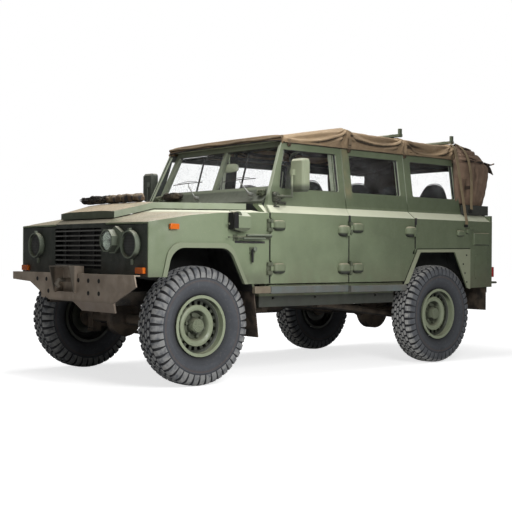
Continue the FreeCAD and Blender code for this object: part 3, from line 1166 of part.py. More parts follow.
def mudflaps():
    """Front and rear mudflaps on the left."""
    x, z = LINER_REAR_X, 660 - SEAT
    y = BODY_Y - SKIN - SEAT
    front = side([(x + 8, z), (x - 2, z), (x - 45, 322), (x - 35, 322)], y - 232, y - 11)
    rear = box(REAR_X - 625, REAR_X - 637, y - 232, y, 440, REAR_LOW_Z + 20)
    return [rear, front]


def rear_hoop():
    """Left lashing hoop behind the rear corner."""
    x0, y, z = BODY_REAR_X, BODY_Y - 50, 690
    plate = box(x0 - SEAT, x0 - 8, y - 43, y + 43, z - 28, z + 26)
    ring = bent_rod([(x0 - 4, y - 23, z), (x0 - 100, y - 23, z), (x0 - 113, y, z), (x0 - 100, y + 23, z),
                     (x0 - 4, y + 23, z)], 10)
    return fuse([plate, ring])


def bonnet_roll():
    """Rolled net lashed across the bonnet."""
    z = bonnet_edge(120)[1] + BONNET_CROWN + SEAT + 33
    return rod((120, -590, z), (120, 285, z), 33)


def scuttle_roll():
    """Short rolled net at the foot of the windscreen."""
    return rod((-693.3, -560, 1420.9), (-693.3, -290, 1420.9), 34)


# ---------------------------------------------------------------- write the pieces
left_pieces = {
    "door_front": front_door(), "door_rear": rear_door(),
    "glass_front": [pane("front")], "glass_rear": [pane("rear")],
    "mirror": [mirror()], "knuckle": [knuckle()],
}
for name, pieces in left_pieces.items():
    save(f"{name}_left", *pieces)
    save(f"{name}_right", *[mirrored(piece) for piece in pieces])

for name, side_sign, x in (("front_left", 1, 0), ("front_right", -1, 0), ("rear_left", 1, REAR_X), ("rear_right", -1, REAR_X)):
    save(f"tyre_{name}", tyre(side_sign, x))
    save(f"rim_{name}", rim(side_sign, x))

save("bonnet", bonnet())
save("bonnet_roll", bonnet_roll())
save("front_wings", *both(front_wing()))
save("front_panel", nose_panel())
save("grille", grille())
save("front_bumper", *front_bumper())
save("headlamps", *shifted(both(headlamp())), driving_lamp())
save("lamp_lenses", *shifted(both(headlamp_lens())), driving_lens())
save("indicators", *indicators())
save("body_fittings", *both(grab_bar(), door_stay(), rear_hoop()), marker())

save("floor_pan", floor_pan())
save("bulkhead", bulkhead())
save("windscreen_frame", windscreen_frame())
save("fixed_glass", *windscreen_panes(), *both(pane("quarter")))
save("body_sides", *both(left_posts()))
save("quarter_panels", *both(*quarter()))
save("rear_frame", coaming(), rear_sill())
save("hinge_posts", *both(*hinge_posts(), screen_hinge()))
save("tailgate", tailgate())
save("roof_frame", roof_frame())
save("roof_canvas", roof_canvas())
save("roof_poles", *roof_poles())
save("rear_curtain", rear_curtain())
save("scuttle_roll", scuttle_roll())

save("seats", *[seat(*row[1:]) for row in SEATS])
save("steering_wheel", steering_wheel())
save("engine", engine())
save("radiator", radiator())
save("driveline", driveline())
save("exhaust", exhaust())
save("fuel_tank", fuel_tank())
save("chassis_rails", *both(chassis_rail()))
save("crossmembers", *crossmembers())
save("front_axle", front_axle())
save("rear_axle", rear_axle())
save("track_rod", track_rod())
save("suspension", *[spring(x, s * y, r) for x, y, r in SPRINGS for s in (1, -1)], *both(*axle_arms()))

save("side_steps", *both(*side_step()))
save("mudflaps", *both(*mudflaps()))
save("rear_lamps", *both(rear_lamp()))
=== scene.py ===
# %% [markdown]
# # An army 4x4 car with a canvas roof
# The rigid pieces were built first as solids, and they arrive here as the frame. This script gives each one its
# finish, adds what metalwork can't give (tread, canvas, straps, nets, seats, seals, bolts), and sets the studio.

# %% Tools and the frame
import json
import math

import bpy
import bmesh
import numpy as np
from mathutils import Matrix, Vector


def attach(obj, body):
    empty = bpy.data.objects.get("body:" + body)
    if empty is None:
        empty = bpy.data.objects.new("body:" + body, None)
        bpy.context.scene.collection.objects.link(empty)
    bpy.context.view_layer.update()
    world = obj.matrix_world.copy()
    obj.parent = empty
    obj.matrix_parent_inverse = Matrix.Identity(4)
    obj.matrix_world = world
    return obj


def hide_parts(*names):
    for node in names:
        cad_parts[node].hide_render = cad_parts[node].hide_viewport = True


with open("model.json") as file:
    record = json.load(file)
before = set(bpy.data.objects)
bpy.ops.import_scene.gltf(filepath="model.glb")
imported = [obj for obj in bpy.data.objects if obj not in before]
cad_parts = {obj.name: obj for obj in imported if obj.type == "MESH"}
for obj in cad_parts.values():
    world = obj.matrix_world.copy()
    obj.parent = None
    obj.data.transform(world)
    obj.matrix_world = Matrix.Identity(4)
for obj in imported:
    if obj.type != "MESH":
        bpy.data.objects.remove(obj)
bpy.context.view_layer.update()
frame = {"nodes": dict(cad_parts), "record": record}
X0 = 1.3715                     # the front axle's place along X; the pieces below count X from that axle
TYRE_R, TRACK_Y, WHEELBASE = 0.425, 0.75, 2.615
SIDES = (("left", 1), ("right", -1))      # each side's name, and the sign of its Y


def put(name, data):
    """Makes an object of some data and puts it in the scene."""
    obj = bpy.data.objects.new(name, data)
    bpy.context.scene.collection.objects.link(obj)
    return obj

# %% [markdown]
# ## The camera
# A long lens at bonnet height, a little ahead of the front wheel, shows the nose and one whole side.
# The camera's matrix is put together from its own three directions, so that its slight roll is kept.

# %% Camera
forward = Vector((-0.65168, -0.75849, -0.00047)).normalized()
level = forward.cross(Vector((0, 0, 1))).normalized()
upright = level.cross(forward)
roll = 0.0061
right = level * math.cos(roll) + upright * math.sin(roll)
up = upright * math.cos(roll) - level * math.sin(roll)
camera = put("camera", bpy.data.cameras.new("camera"))
camera.data.sensor_width = 36
camera.data.lens = 69.81
camera.data.clip_end = 100
place = Matrix((right, up, -forward)).transposed().to_4x4()
place.translation = Vector((4.266 + X0, 6.3905, 0.9249))
camera.matrix_world = place
bpy.context.scene.camera = camera
bpy.context.scene.view_settings.view_transform = "Standard"

# %% [markdown]
# ## Making surfaces
# Every new piece is a grid: a table of points with rows and columns, worked out for all points at once.
# The helpers below turn such a grid into a mesh, and shift X from the axle's count to the frame's.


# %% Grid helpers
def all_smooth(mesh):
    """Shades every face of a mesh smoothly."""
    mesh.polygons.foreach_set("use_smooth", np.ones(len(mesh.polygons), bool))


def point_numbers(obj, name, values):
    """Stores one number on each point of a piece, for its finish to read."""
    layer = obj.data.attributes.new(name, "FLOAT", "POINT")
    layer.data.foreach_set("value", np.asarray(values, np.float32))


def mesh_object(name, points, faces, material, body, smooth=True, replaces=()):
    """Puts points (n, 3) and faces into a mesh object that rides on a body. X is counted from the front axle."""
    points = np.asarray(points, float).reshape(-1, 3) + (X0, 0, 0)
    mesh = bpy.data.meshes.new(name)
    mesh.from_pydata(points.tolist(), [], [list(map(int, f)) for f in faces])
    mesh.update()
    if smooth:
        all_smooth(mesh)
        mesh.set_sharp_from_angle(angle=math.radians(42))
    obj = put(name, mesh)
    obj.data.materials.append(material)
    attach(obj, body)
    if replaces:
        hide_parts(*replaces)
    return obj


def grid_faces(rows, cols, wrap_rows=False, wrap_cols=False):
    """Quads that join each grid point to the next in its row and column, round the seam where wrapped."""
    r = np.arange(rows if wrap_rows else rows - 1)[:, None]
    c = np.arange(cols if wrap_cols else cols - 1)[None, :]
    a = r * cols + c
    b = r * cols + (c + 1) % cols
    d = ((r + 1) % rows) * cols + c
    e = ((r + 1) % rows) * cols + (c + 1) % cols
    return np.stack([a + 0 * b, b + 0 * a, e + 0 * a, d + 0 * b], -1).reshape(-1, 4)


def join(parts):
    """Joins several (points, faces) pairs into one pair."""
    points, faces, start = [], [], 0
    for p, f in parts:
        p = np.asarray(p, float).reshape(-1, 3)
        points.append(p)
        faces += [[int(i) + start for i in face] for face in f]
        start += len(p)
    return np.concatenate(points), faces


def tube(path, r, sides=10):
    """Round tube along a path: each point's ring stands across the path's direction, with its two ends closed."""
    path = np.asarray(path, float)
    along = np.gradient(path, axis=0)
    along /= np.linalg.norm(along, axis=1, keepdims=True)
    ref = np.where(np.abs(along[:, 2:3]) > 0.9, [[1.0, 0, 0]], [[0, 0, 1.0]])
    u = np.cross(along, ref)
    u /= np.linalg.norm(u, axis=1, keepdims=True)
    v = np.cross(along, u)
    t = np.linspace(0, 2 * np.pi, sides, endpoint=False)
    radius = np.broadcast_to(np.asarray(r, float), (len(path),))[:, None, None]
    ring = path[:, None] + radius * (np.cos(t)[None, :, None] * u[:, None] + np.sin(t)[None, :, None] * v[:, None])
    faces = grid_faces(len(path), sides, wrap_cols=True)[:, ::-1].tolist()
    last = (len(path) - 1) * sides
    faces += [list(range(sides)), list(range(last + sides - 1, last - 1, -1))]
    return ring.reshape(-1, 3), faces


def smooth_path(points, n=24):
    """Rounds a few corner points into n points.

    Each corner is a weighted mean of its neighbours (a quadratic spline)."""
    p = np.asarray(points, float)
    p = np.concatenate([p[:1], p, p[-1:]])
    s = np.linspace(1, len(p) - 2, n)
    i = np.clip(np.round(s).astype(int), 1, len(p) - 2)
    t = (s - i + 0.5)[:, None]
    return 0.5 * ((1 - t) ** 2 * p[i - 1] + (1 + 2 * t - 2 * t**2) * p[i] + t**2 * p[i + 1])


def ribbon(path, across, width, thick=0.002):
    """Flat strap along a path: a thin rectangle whose long side lies along the direction 'across'."""
    path = np.asarray(path, float)
    across = np.broadcast_to(np.asarray(across, float), path.shape)
    across = across / np.linalg.norm(across, axis=1, keepdims=True)
    along = np.gradient(path, axis=0)
    out = np.cross(along, across)
    out /= np.linalg.norm(out, axis=1, keepdims=True)
    corner = ((-0.5, -0.5), (-0.5, 0.5), (0.5, 0.5), (0.5, -0.5))
    ring = np.stack([path + across * width * a + out * thick * b for a, b in corner], 1)
    faces = grid_faces(len(path), 4, wrap_cols=True).tolist()
    last = (len(path) - 1) * 4
    return ring.reshape(-1, 3), faces + [[3, 2, 1, 0], [last, last + 1, last + 2, last + 3]]


def block(x0, x1, y0, y1, z0, z1):
    """Six-sided block between two corners, faces outwards."""
    p = [(x, y, z) for x in sorted((x0, x1)) for y in sorted((y0, y1)) for z in sorted((z0, z1))]
    return np.array(p), [[0, 1, 3, 2], [4, 6, 7, 5], [0, 4, 5, 1], [2, 3, 7, 6], [0, 2, 6, 4], [1, 5, 7, 3]]


def disc(centre, axis, r, h, sides=12, dome=0.3):
    """Round head on a face: a wall of height h with a domed top, standing along an axis."""
    c, n = np.asarray(centre, float), np.asarray(axis, float)
    n = n / np.linalg.norm(n)
    u = np.cross(n, (0.3, 0.5, 0.8))
    u /= np.linalg.norm(u)
    v = np.cross(n, u)
    t = np.linspace(0, 2 * np.pi, sides, endpoint=False)
    circle = np.cos(t)[:, None] * u + np.sin(t)[:, None] * v
    rings = [c + circle * r * a + n * h * b for a, b in ((1, 0), (1, 1 - dome), (0.8, 1 - dome * 0.3), (0.35, 1))]
    faces = grid_faces(4, sides, wrap_cols=True).tolist()
    return np.concatenate(rings), faces + [list(range(3 * sides, 4 * sides)), list(range(sides - 1, -1, -1))]


def bevelled(obj, width=0.002, segments=2, angle=35):
    """Adds a rounded edge to a piece with a Bevel modifier."""
    m = obj.modifiers.new("edges", "BEVEL")
    m.width = width
    m.segments = segments
    m.limit_method = "ANGLE"
    m.angle_limit = math.radians(angle)
    m.harden_normals = True
    return obj


# %% [markdown]
# ## Finishes
# Each finish is a small tree of nodes. Masks come from noise, from how far a face looks up, or from its height,
# and each mask mixes one more layer over the last colour: fresh paint, fading, mud and dust, in the order they came.
# Some layers are painted light and shade: lighter where light falls, darker below things and in hollows.


# %% Material helpers
class Finish:
    """A Principled material that is built up in layers of colour."""

    def __init__(self, name, colour, rough=0.6, metal=0.0, **sockets):
        self.mat = bpy.data.materials.new(name)
        self.mat.use_nodes = True
        self.nodes, self.links = self.mat.node_tree.nodes, self.mat.node_tree.links
        self.shader = self.nodes["Principled BSDF"]
        self.shader.inputs["Roughness"].default_value = rough
        self.shader.inputs["Metallic"].default_value = metal
        for key, value in sockets.items():
            self.shader.inputs[key.replace("_", " ")].default_value = value
        self.coords = self.nodes.new("ShaderNodeTexCoord")
        self.colour = (*colour, 1)
        self.height = None
        self.link(self.colour, self.shader.inputs["Base Color"])

    def link(self, value, socket):
        """Joins a socket to another, or writes a plain value into it."""
        if isinstance(value, bpy.types.NodeSocket):
            self.links.new(value, socket)
        else:
            socket.default_value = value

    def place(self, stretch=(1, 1, 1), turn=(0, 0, 0)):
        """Object coordinates, stretched and turned."""
        node = self.nodes.new("ShaderNodeMapping")
        node.inputs["Scale"].default_value = stretch
        node.inputs["Rotation"].default_value = turn
        self.links.new(self.coords.outputs["Object"], node.inputs["Vector"])
        return node.outputs[0]

    def noise(self, scale, low=0.35, high=0.65, stretch=(1, 1, 1), detail=4, turn=(0, 0, 0)):
        """Noise as a mask from 0 to 1 between two levels."""
        node = self.nodes.new("ShaderNodeTexNoise")
        node.inputs["Scale"].default_value = scale
        node.inputs["Detail"].default_value = detail
        self.links.new(self.place(stretch, turn), node.inputs["Vector"])
        return self.span(node.outputs["Fac"], low, high)

    def span(self, value, low, high):
        """Turns the range low to high into 0 to 1, softly."""
        node = self.nodes.new("ShaderNodeMapRange")
        node.interpolation_type = "SMOOTHSTEP"
        self.links.new(value, node.inputs["Value"])
        node.inputs["From Min"].default_value = low
        node.inputs["From Max"].default_value = high
        return node.outputs["Result"]

    def axis(self, which, source="Object"):
        """One coordinate of the point, or of the face's direction where source is Normal."""
        node = self.nodes.new("ShaderNodeSeparateXYZ")
        self.links.new(self.coords.outputs[source], node.inputs[0])
        return node.outputs[which]

    def attribute(self, name):
        """A number stored on the piece's own points."""
        node = self.nodes.new("ShaderNodeAttribute")
        node.attribute_name = name
        return node.outputs["Fac"]

    def maths(self, how, a, b=0.5):
        """One sum of two values."""
        node = self.nodes.new("ShaderNodeMath")
        node.operation = how
        self.link(a, node.inputs[0])
        self.link(b, node.inputs[1])
        return node.outputs[0]

    def times(self, a, b):
        """Product of two masks: high only where both are."""
        return self.maths("MULTIPLY", a, b)

    def rise(self, low, high):
        """Mask by height above the ground."""
        return self.span(self.axis(2), low, high)

    def along(self, low, high):
        """Mask along the car, X counted from the front axle."""
        return self.span(self.axis(0), X0 + low, X0 + high)

    def wide(self, low, high):
        """Mask by the distance from the car's middle plane."""
        return self.span(self.maths("ABSOLUTE", self.axis(1)), low, high)

    def facing(self, which, low, high):
        """Mask by how far a face looks along one axis."""
        return self.span(self.axis(which, "Normal"), low, high)

    def layer(self, colour, mask, share=1.0):
        """Lays a colour over the last one where the mask is high."""
        node = self.nodes.new("ShaderNodeMix")
        node.data_type = "RGBA"
        self.link(self.times(mask, share) if share != 1.0 else mask, node.inputs[0])
        self.link(self.colour, node.inputs[6])
        self.link((*colour, 1), node.inputs[7])
        self.colour = node.outputs[2]
        self.links.new(self.colour, self.shader.inputs["Base Color"])
        return self

    def roughness(self, mask, low, high):
        """Roughness from low to high along a mask."""
        node = self.nodes.new("ShaderNodeMapRange")
        self.links.new(mask, node.inputs["Value"])
        node.inputs["To Min"].default_value = low
        node.inputs["To Max"].default_value = high
        self.links.new(node.outputs["Result"], self.shader.inputs["Roughness"])
        return self

    def bump(self, mask, depth, strength=1.0):
        """Adds a relief of that depth in metres."""
        node = self.nodes.new("ShaderNodeBump")
        node.inputs["Distance"].default_value = depth
        node.inputs["Strength"].default_value = strength
        self.links.new(mask, node.inputs["Height"])
        if self.height is not None:
            self.links.new(self.height, node.inputs["Normal"])
        self.height = node.outputs[0]
        self.links.new(self.height, self.shader.inputs["Normal"])
        return self


DUST = (0.46, 0.41, 0.30)
MUD = (0.13, 0.098, 0.070)
FILM = (0.205, 0.252, 0.152)
SILL_Z = 0.628                  # below this height the body is chassis-dark


def paint(name, colour, dust=0.85, mud=0.5, rough=0.55, dark=0.75, film=0.0, top=DUST):
    """Sprayed metal: faded in soft patches, streaked by rain, muddy below and dusty on what looks up, and darkened on
    what looks down as painted shade.

    film is how much pale dust lies on the sides below the belt; where it is given, the sides also get painted light
    and shade."""
    f = Finish(name, colour, rough)
    shade = tuple(c * dark for c in colour)
    if film:
        low = f.times(f.rise(1.36, 1.22), f.noise(2.6, 0.1, 0.62, detail=5))
        f.layer(FILM, f.times(low, f.along(-2.1, -1.38)), film)
    pale = tuple(min(1, c * 1.3 + 0.015) for c in colour)
    f.layer(shade, f.noise(1.7, 0.4, 0.72, detail=3), 0.55)
    f.layer(pale, f.noise(5.0, 0.45, 0.75, stretch=(1, 1, 0.35)), 0.35)
    f.layer(DUST, f.noise(160, 0.62, 0.74, detail=2), 0.22)
    f.layer(pale, f.noise(26, 0.6, 0.68, stretch=(1, 1, 0.08), detail=6), 0.16)
    low = f.times(f.rise(0.98, 0.52), f.noise(9, 0.3, 0.62, detail=8))
    f.layer(MUD, low, mud)
    up = f.facing(2, 0.45, 0.95)
    f.layer(top, f.times(up, f.noise(6, 0.12, 0.55, detail=8)), dust)
    f.layer((0.2, 0.15, 0.1), f.times(up, f.noise(70, 0.55, 0.62, detail=6)), dust * 0.7)
    if film:
        # a pale band along the shoulder where it looks up: painted highlight from above, with some dust in it
        band = f.times(f.rise(1.225, 1.245), f.rise(1.318, 1.300))
        band = f.times(band, f.facing(2, 0.3, 0.6))
        f.layer((0.60, 0.62, 0.47), f.times(band, f.noise(5, 0.0, 0.4, detail=6)), 0.92)
        # darker above the belt towards the rear: painted shade
        above = f.times(f.rise(1.32, 1.33), f.rise(1.45, 1.42))
        f.layer((0.075, 0.096, 0.054), f.times(above, f.along(-1.3, -1.7)), 0.5)
        # lighter window frame at the front: painted light
        ahead = f.times(f.rise(1.44, 1.48), f.along(-1.15, -0.95))
        f.layer((0.225, 0.260, 0.170), ahead, 0.45)
        stain = f.span(f.maths("ABSOLUTE", f.maths("SUBTRACT", f.axis(0), X0 - 1.53)), 0.060, 0.015)
        stain = f.times(f.times(stain, f.rise(1.36, 1.44)), f.noise(8, 0.3, 0.65, detail=6))
        f.layer((0.24, 0.205, 0.115), stain, 0.6)
        # lighter where the upper side looks forward: painted light
        ahead = f.times(f.facing(0, 0.25, 0.55), f.rise(1.36, 1.42))
        f.layer((0.42, 0.46, 0.35), ahead, 0.75)
        f.layer((0.028, 0.030, 0.027), f.rise(SILL_Z, SILL_Z - 0.012), 0.9)
        # faces that look into the body above 0.95 m are near black: painted shade of the inside
        inward = f.times(f.axis(1, "Normal"), f.axis(1))
        f.layer((0.016, 0.019, 0.024), f.times(f.span(inward, -0.25, -0.5), f.rise(0.95, 1.0)), 0.9)
    # faces that look down are near black: painted shade
    f.layer((0.008, 0.008, 0.008), f.facing(2, -0.45, -0.8), 0.85)
    f.roughness(f.noise(12, 0.3, 0.7), rough - 0.08, min(0.95, rough + 0.22))
    f.bump(f.noise(2.2, 0.1, 0.9, detail=2), 0.0022, 0.6)
    f.bump(f.noise(320, 0.3, 0.7, detail=2), 0.00025, 0.6)
    return f


# %% Painted metal, rubber and bare metal
olive = paint("olive_paint", (0.122, 0.150, 0.088), film=0.9).mat
# a lighter copy of the olive for the bonnet: painted light from above, with brown dust on top
f = paint("bonnet_paint", (0.200, 0.240, 0.160), dust=1.0, top=(0.42, 0.34, 0.23))
# what looks forward is darker: painted shade
f.layer((0.090, 0.107, 0.067), f.facing(0, 0.6, 0.9), 0.95)
# what looks to the left side is lighter in patches: painted highlight
f.layer((0.340, 0.385, 0.280), f.times(f.facing(1, 0.25, 0.6), f.noise(9, 0.1, 0.5)), 0.7)
bonnet_paint = f.mat
# the windscreen frame's paint is lighter than the olive: pale dust, and painted light from the front; it is darker
# below 1.435 m
f = paint("screen_frame_paint", (0.185, 0.210, 0.150), dust=0.3)
f.layer((0.050, 0.058, 0.042), f.rise(1.445, 1.425), 0.8)
screen_paint = f.mat
lamp_paint = paint("lamp_ring_paint", (0.135, 0.160, 0.115), dust=0.3, mud=0.2, rough=0.45).mat
nose_green = paint("shaded_nose_paint", (0.029, 0.035, 0.027), dust=0.7, mud=0.6).mat
chassis_black = paint("chassis_paint", (0.014, 0.014, 0.013), dust=0.12, mud=0.5, rough=0.8).mat
inner_paint = paint("inner_paint", (0.026, 0.030, 0.028), dust=0.15, mud=0.2, rough=0.8).mat
coaming_grey = paint("coaming_paint", (0.040, 0.042, 0.036), dust=0.25, mud=0.3, rough=0.7).mat
f = paint("boss_paint", (0.150, 0.178, 0.108), dust=0.8, mud=0.2)
# near black below each boss's middle: painted shade on the lower half of the dome
f.layer((0.012, 0.014, 0.010), f.span(f.attribute("shade_below"), 0.25, 0.60), 0.92)
boss_paint = f.mat
f = paint("box_paint", (0.185, 0.225, 0.140), dust=0.0, mud=0.0)
# what looks up is pale: painted highlight on the box's top
f.layer((0.37, 0.385, 0.29), f.facing(2, 0.4, 0.8), 0.95)
box_paint = f.mat
sill_dust = paint("dusty_sill", (0.20, 0.175, 0.12), dust=0.6, mud=0.9, rough=0.8).mat
hinge_green = paint("hinge_paint", (0.085, 0.100, 0.062), dust=0.6, mud=0.3).mat
# the near left mirror's paint is a lit copy of the olive, darker below 1.45 m: painted light
f = paint("mirror_paint", (0.27, 0.30, 0.20), dust=0.6, mud=0.0)
f.layer((0.055, 0.062, 0.044), f.rise(1.47, 1.43), 0.85)
mirror_green = f.mat
# the far right mirror's paint is a shaded copy of the same olive: painted shade
far_mirror = paint("shaded_mirror_paint", (0.062, 0.070, 0.058), dust=0.3, mud=0.0).mat
rail_grey = paint("rock_rail_alloy", (0.12, 0.145, 0.14), dust=0.4, mud=0.5, rough=0.45).mat
arm_brown = paint("muddy_arms", (0.050, 0.040, 0.031), dust=0.3, mud=0.8, rough=0.8).mat

# wings and quarters have a black lining inside their wheel arches
f = paint("lined_wing_paint", (0.122, 0.150, 0.088), film=0.9, dust=1.0, top=(0.36, 0.315, 0.225))
low = f.times(f.rise(0.86, 0.74), f.along(-1.0, -0.9))
f.layer((0.105, 0.122, 0.078), f.times(low, f.noise(7, 0.2, 0.6, detail=6)), 0.7)
inside = f.times(f.wide(0.874, 0.866), f.rise(1.050, 1.034))
f.layer((0.010, 0.010, 0.009), inside)
# the arch lips are paler: painted highlight on the raised lips, most on the rear arch's
lip = f.times(f.wide(0.8858, 0.8875), f.rise(1.024, 1.014))
lip = f.times(lip, f.along(-3.005, -2.998))
f.layer((0.310, 0.330, 0.225), f.times(lip, f.along(-2.0, -2.05)), 0.85)
f.layer((0.235, 0.262, 0.175), f.times(lip, f.along(-2.0, -1.95)), 0.7)
wing_paint = f.mat

# the bumper's face is dusty brown, and the skid plate under it is darker
f = paint("brown_bumper_paint", (0.35, 0.285, 0.222), dust=0.5, mud=0.3, rough=0.7)
f.layer((0.16, 0.128, 0.102), f.rise(0.615, 0.575), 0.8)
f.layer((0.20, 0.160, 0.125), f.noise(9, 0.45, 0.65, detail=8), 0.5)
f.layer((0.03, 0.03, 0.022), f.along(0.606, 0.625), 0.7)
bumper_brown = f.mat


def wheel_paint(name, axle_x):
    """Wheel paint, darker by distance from the axle round the slots and in the recess round the hub: painted shade.
    It is also darker at the rim's outer edge and on the wheel's inner side.
    """
    f = paint(name, (0.265, 0.300, 0.200), dust=0.3, mud=0.0, rough=0.4)
    far = f.maths("SQRT", f.maths("ADD", f.maths("POWER", f.maths("SUBTRACT", f.axis(0), axle_x), 2.0),
                                  f.maths("POWER", f.maths("SUBTRACT", f.axis(2), TYRE_R), 2.0)))
    f.layer((0.014, 0.015, 0.013), f.times(f.span(far, 0.148, 0.156), f.span(far, 0.197, 0.189)), 0.88)
    f.layer((0.030, 0.034, 0.022), f.times(f.span(far, 0.052, 0.058), f.span(far, 0.112, 0.090)), 0.75)
    f.layer((0.012, 0.012, 0.012), f.span(far, 0.2195, 0.2225), 0.9)
    f.layer((0.014, 0.014, 0.013), f.wide(0.745, 0.715), 0.9)
    f.bump(f.times(f.span(far, 0.064, 0.058), f.noise(170, 0.35, 0.65, detail=4)), 0.006)
    return f.mat


f = Finish("black_rubber", (0.022, 0.022, 0.023), 0.65)
f.layer((0.1, 0.09, 0.075), f.noise(30, 0.45, 0.7), 0.4)
seal_rubber = f.mat

f = Finish("tyre_rubber", (0.015, 0.015, 0.016), 0.85)
f.layer((0.092, 0.100, 0.114), f.attribute("dust"))
f.layer((0.045, 0.048, 0.056), f.noise(7, 0.42, 0.72, detail=8), 0.6)
f.layer((0.12, 0.075, 0.055), f.attribute("ring"), 0.5)
# paler grey on the block tops, palest on the rear tyres: dust, and painted light on the tread
f.layer((0.33, 0.328, 0.315), f.times(f.span(f.attribute("dust"), 0.94, 1.10), f.noise(24, 0.25, 0.62, detail=6)), 0.8)
f.layer((0.52, 0.515, 0.49), f.times(f.span(f.attribute("dust"), 1.15, 1.28), f.noise(30, 0.2, 0.6, detail=6)), 0.75)
f.layer((0.17, 0.165, 0.155), f.times(f.attribute("dust"), f.noise(55, 0.55, 0.72, detail=6)), 0.35)
f.bump(f.noise(90, 0.3, 0.7, detail=6), 0.0008, 0.5)
tyre_rubber = f.mat

f = Finish("flap_rubber", (0.022, 0.017, 0.013), 0.85)
f.layer(MUD, f.noise(14, 0.35, 0.7, detail=8), 0.6)
f.bump(f.noise(40, 0.3, 0.7, detail=6), 0.001, 0.6)
flap_rubber = f.mat

f = Finish("dark_metal", (0.02, 0.02, 0.019), 0.5, 0.6)
f.layer((0.12, 0.1, 0.08), f.noise(60, 0.5, 0.75, detail=6), 0.5)
dark_metal = f.mat

f = Finish("silvered_reflector", (0.40, 0.42, 0.39), 0.26, 1.0)
f.bump(f.noise(70, 0.3, 0.7, stretch=(0.1, 1, 0.1)), 0.001, 0.4)
reflector = f.mat

f = Finish("grille_slats", (0.007, 0.007, 0.007), 0.7)
edge = f.times(f.facing(0, 0.85, 0.97), f.along(0.4780, 0.4797))
f.layer((0.15, 0.15, 0.138), edge, 0.9)
f.layer((0.03, 0.025, 0.02), f.noise(14, 0.45, 0.7, detail=6), 0.4)
slat_grey = f.mat

f = Finish("buckle_steel", (0.050, 0.036, 0.024), 0.55, 0.3)
f.layer((0.10, 0.07, 0.045), f.noise(80, 0.45, 0.7, detail=6), 0.6)
buckle_steel = f.mat

f = Finish("matt_black", (0.006, 0.006, 0.006), 0.9)
f.layer((0.02, 0.018, 0.015), f.noise(30, 0.5, 0.7), 0.5)
matt_black = f.mat

# %% Glass and lamps
f = Finish("window_glass", (0.985, 0.99, 0.99), 0.0, Transmission_Weight=1.0, IOR=1.12)
speck = f.times(f.noise(110, 0.58, 0.68, detail=3), f.noise(6, 0.35, 0.7, detail=4))
speck = f.maths("MAXIMUM", speck, f.times(f.noise(3, 0.35, 0.8, detail=5), 0.01))
f.layer((0.24, 0.27, 0.30), speck, 0.6)
f.link(f.maths("SUBTRACT", 1.0, f.times(speck, 0.3)), f.shader.inputs["Transmission Weight"])
window_glass = f.mat
clear_glass = Finish("lamp_glass", (0.62, 0.66, 0.62), 0.04, Transmission_Weight=1.0, IOR=1.45).mat
amber = Finish("amber_lens", (0.75, 0.16, 0.012), 0.25, Transmission_Weight=0.15).mat
red_lens = Finish("red_lens", (0.42, 0.02, 0.02), 0.25, Transmission_Weight=0.15).mat

f = Finish("lamp_mesh", (0.012, 0.012, 0.012), 0.6)
node = f.nodes.new("ShaderNodeTexBrick")
node.offset = 0.5
node.inputs["Scale"].default_value = 140
node.inputs["Mortar Size"].default_value = 0.09
node.inputs["Color1"].default_value = (0, 0, 0, 1)
node.inputs["Color2"].default_value = (0, 0, 0, 1)
node.inputs["Mortar"].default_value = (1, 1, 1, 1)
turn = f.place((1, 1, 1), (0, math.pi / 2, 0))
f.links.new(turn, node.inputs["Vector"])
f.layer((0.07, 0.072, 0.068), node.outputs["Color"])
f.bump(node.outputs["Color"], 0.002)
lamp_mesh = f.mat


# %% Cloth
def cloth(name, colour, shade, dust, weave=900, rough=0.95, shaded_inside=False):
    """Heavy cloth: two crossed fine waves for the weave, soft fading, dust in broad patches, and painted shade on what
    looks down; with shell, also on what looks into the car or forward.
    """
    f = Finish(name, colour, rough)
    f.layer(shade, f.noise(4.5, 0.35, 0.7, detail=6), 0.6)
    f.layer(dust, f.noise(11, 0.5, 0.75, detail=8), 0.35)
    f.layer(shade, f.noise(70, 0.5, 0.72, detail=6), 0.3)
    waves = []
    for turn in ((0, 0, 0), (0, math.pi / 2, 0), (0, 0, math.pi / 2)):
        node = f.nodes.new("ShaderNodeTexWave")
        node.inputs["Scale"].default_value = weave / 6.3
        node.inputs["Distortion"].default_value = 1.2
        f.links.new(f.place((1, 1, 1), turn), node.inputs["Vector"])
        waves.append(node.outputs["Fac"])
    # faces that look down are near black: painted shade
    inner = tuple(c * 0.10 for c in colour)
    f.layer(inner, f.facing(2, -0.25, -0.6), 0.95)
    # with shell, faces that look into the car or forward are near black too: painted shade inside
    if shaded_inside:
        inward = f.times(f.axis(1, "Normal"), f.axis(1))
        f.layer(inner, f.maths("MAXIMUM", f.span(inward, -0.15, -0.35), f.facing(0, 0.45, 0.75)), 0.95)
    f.bump(f.maths("ADD", f.maths("ADD", waves[0], waves[1]), waves[2]), 0.0004, 0.35)
    f.bump(f.noise(16, 0.2, 0.8, detail=6), 0.004, 0.5)
    return f.mat


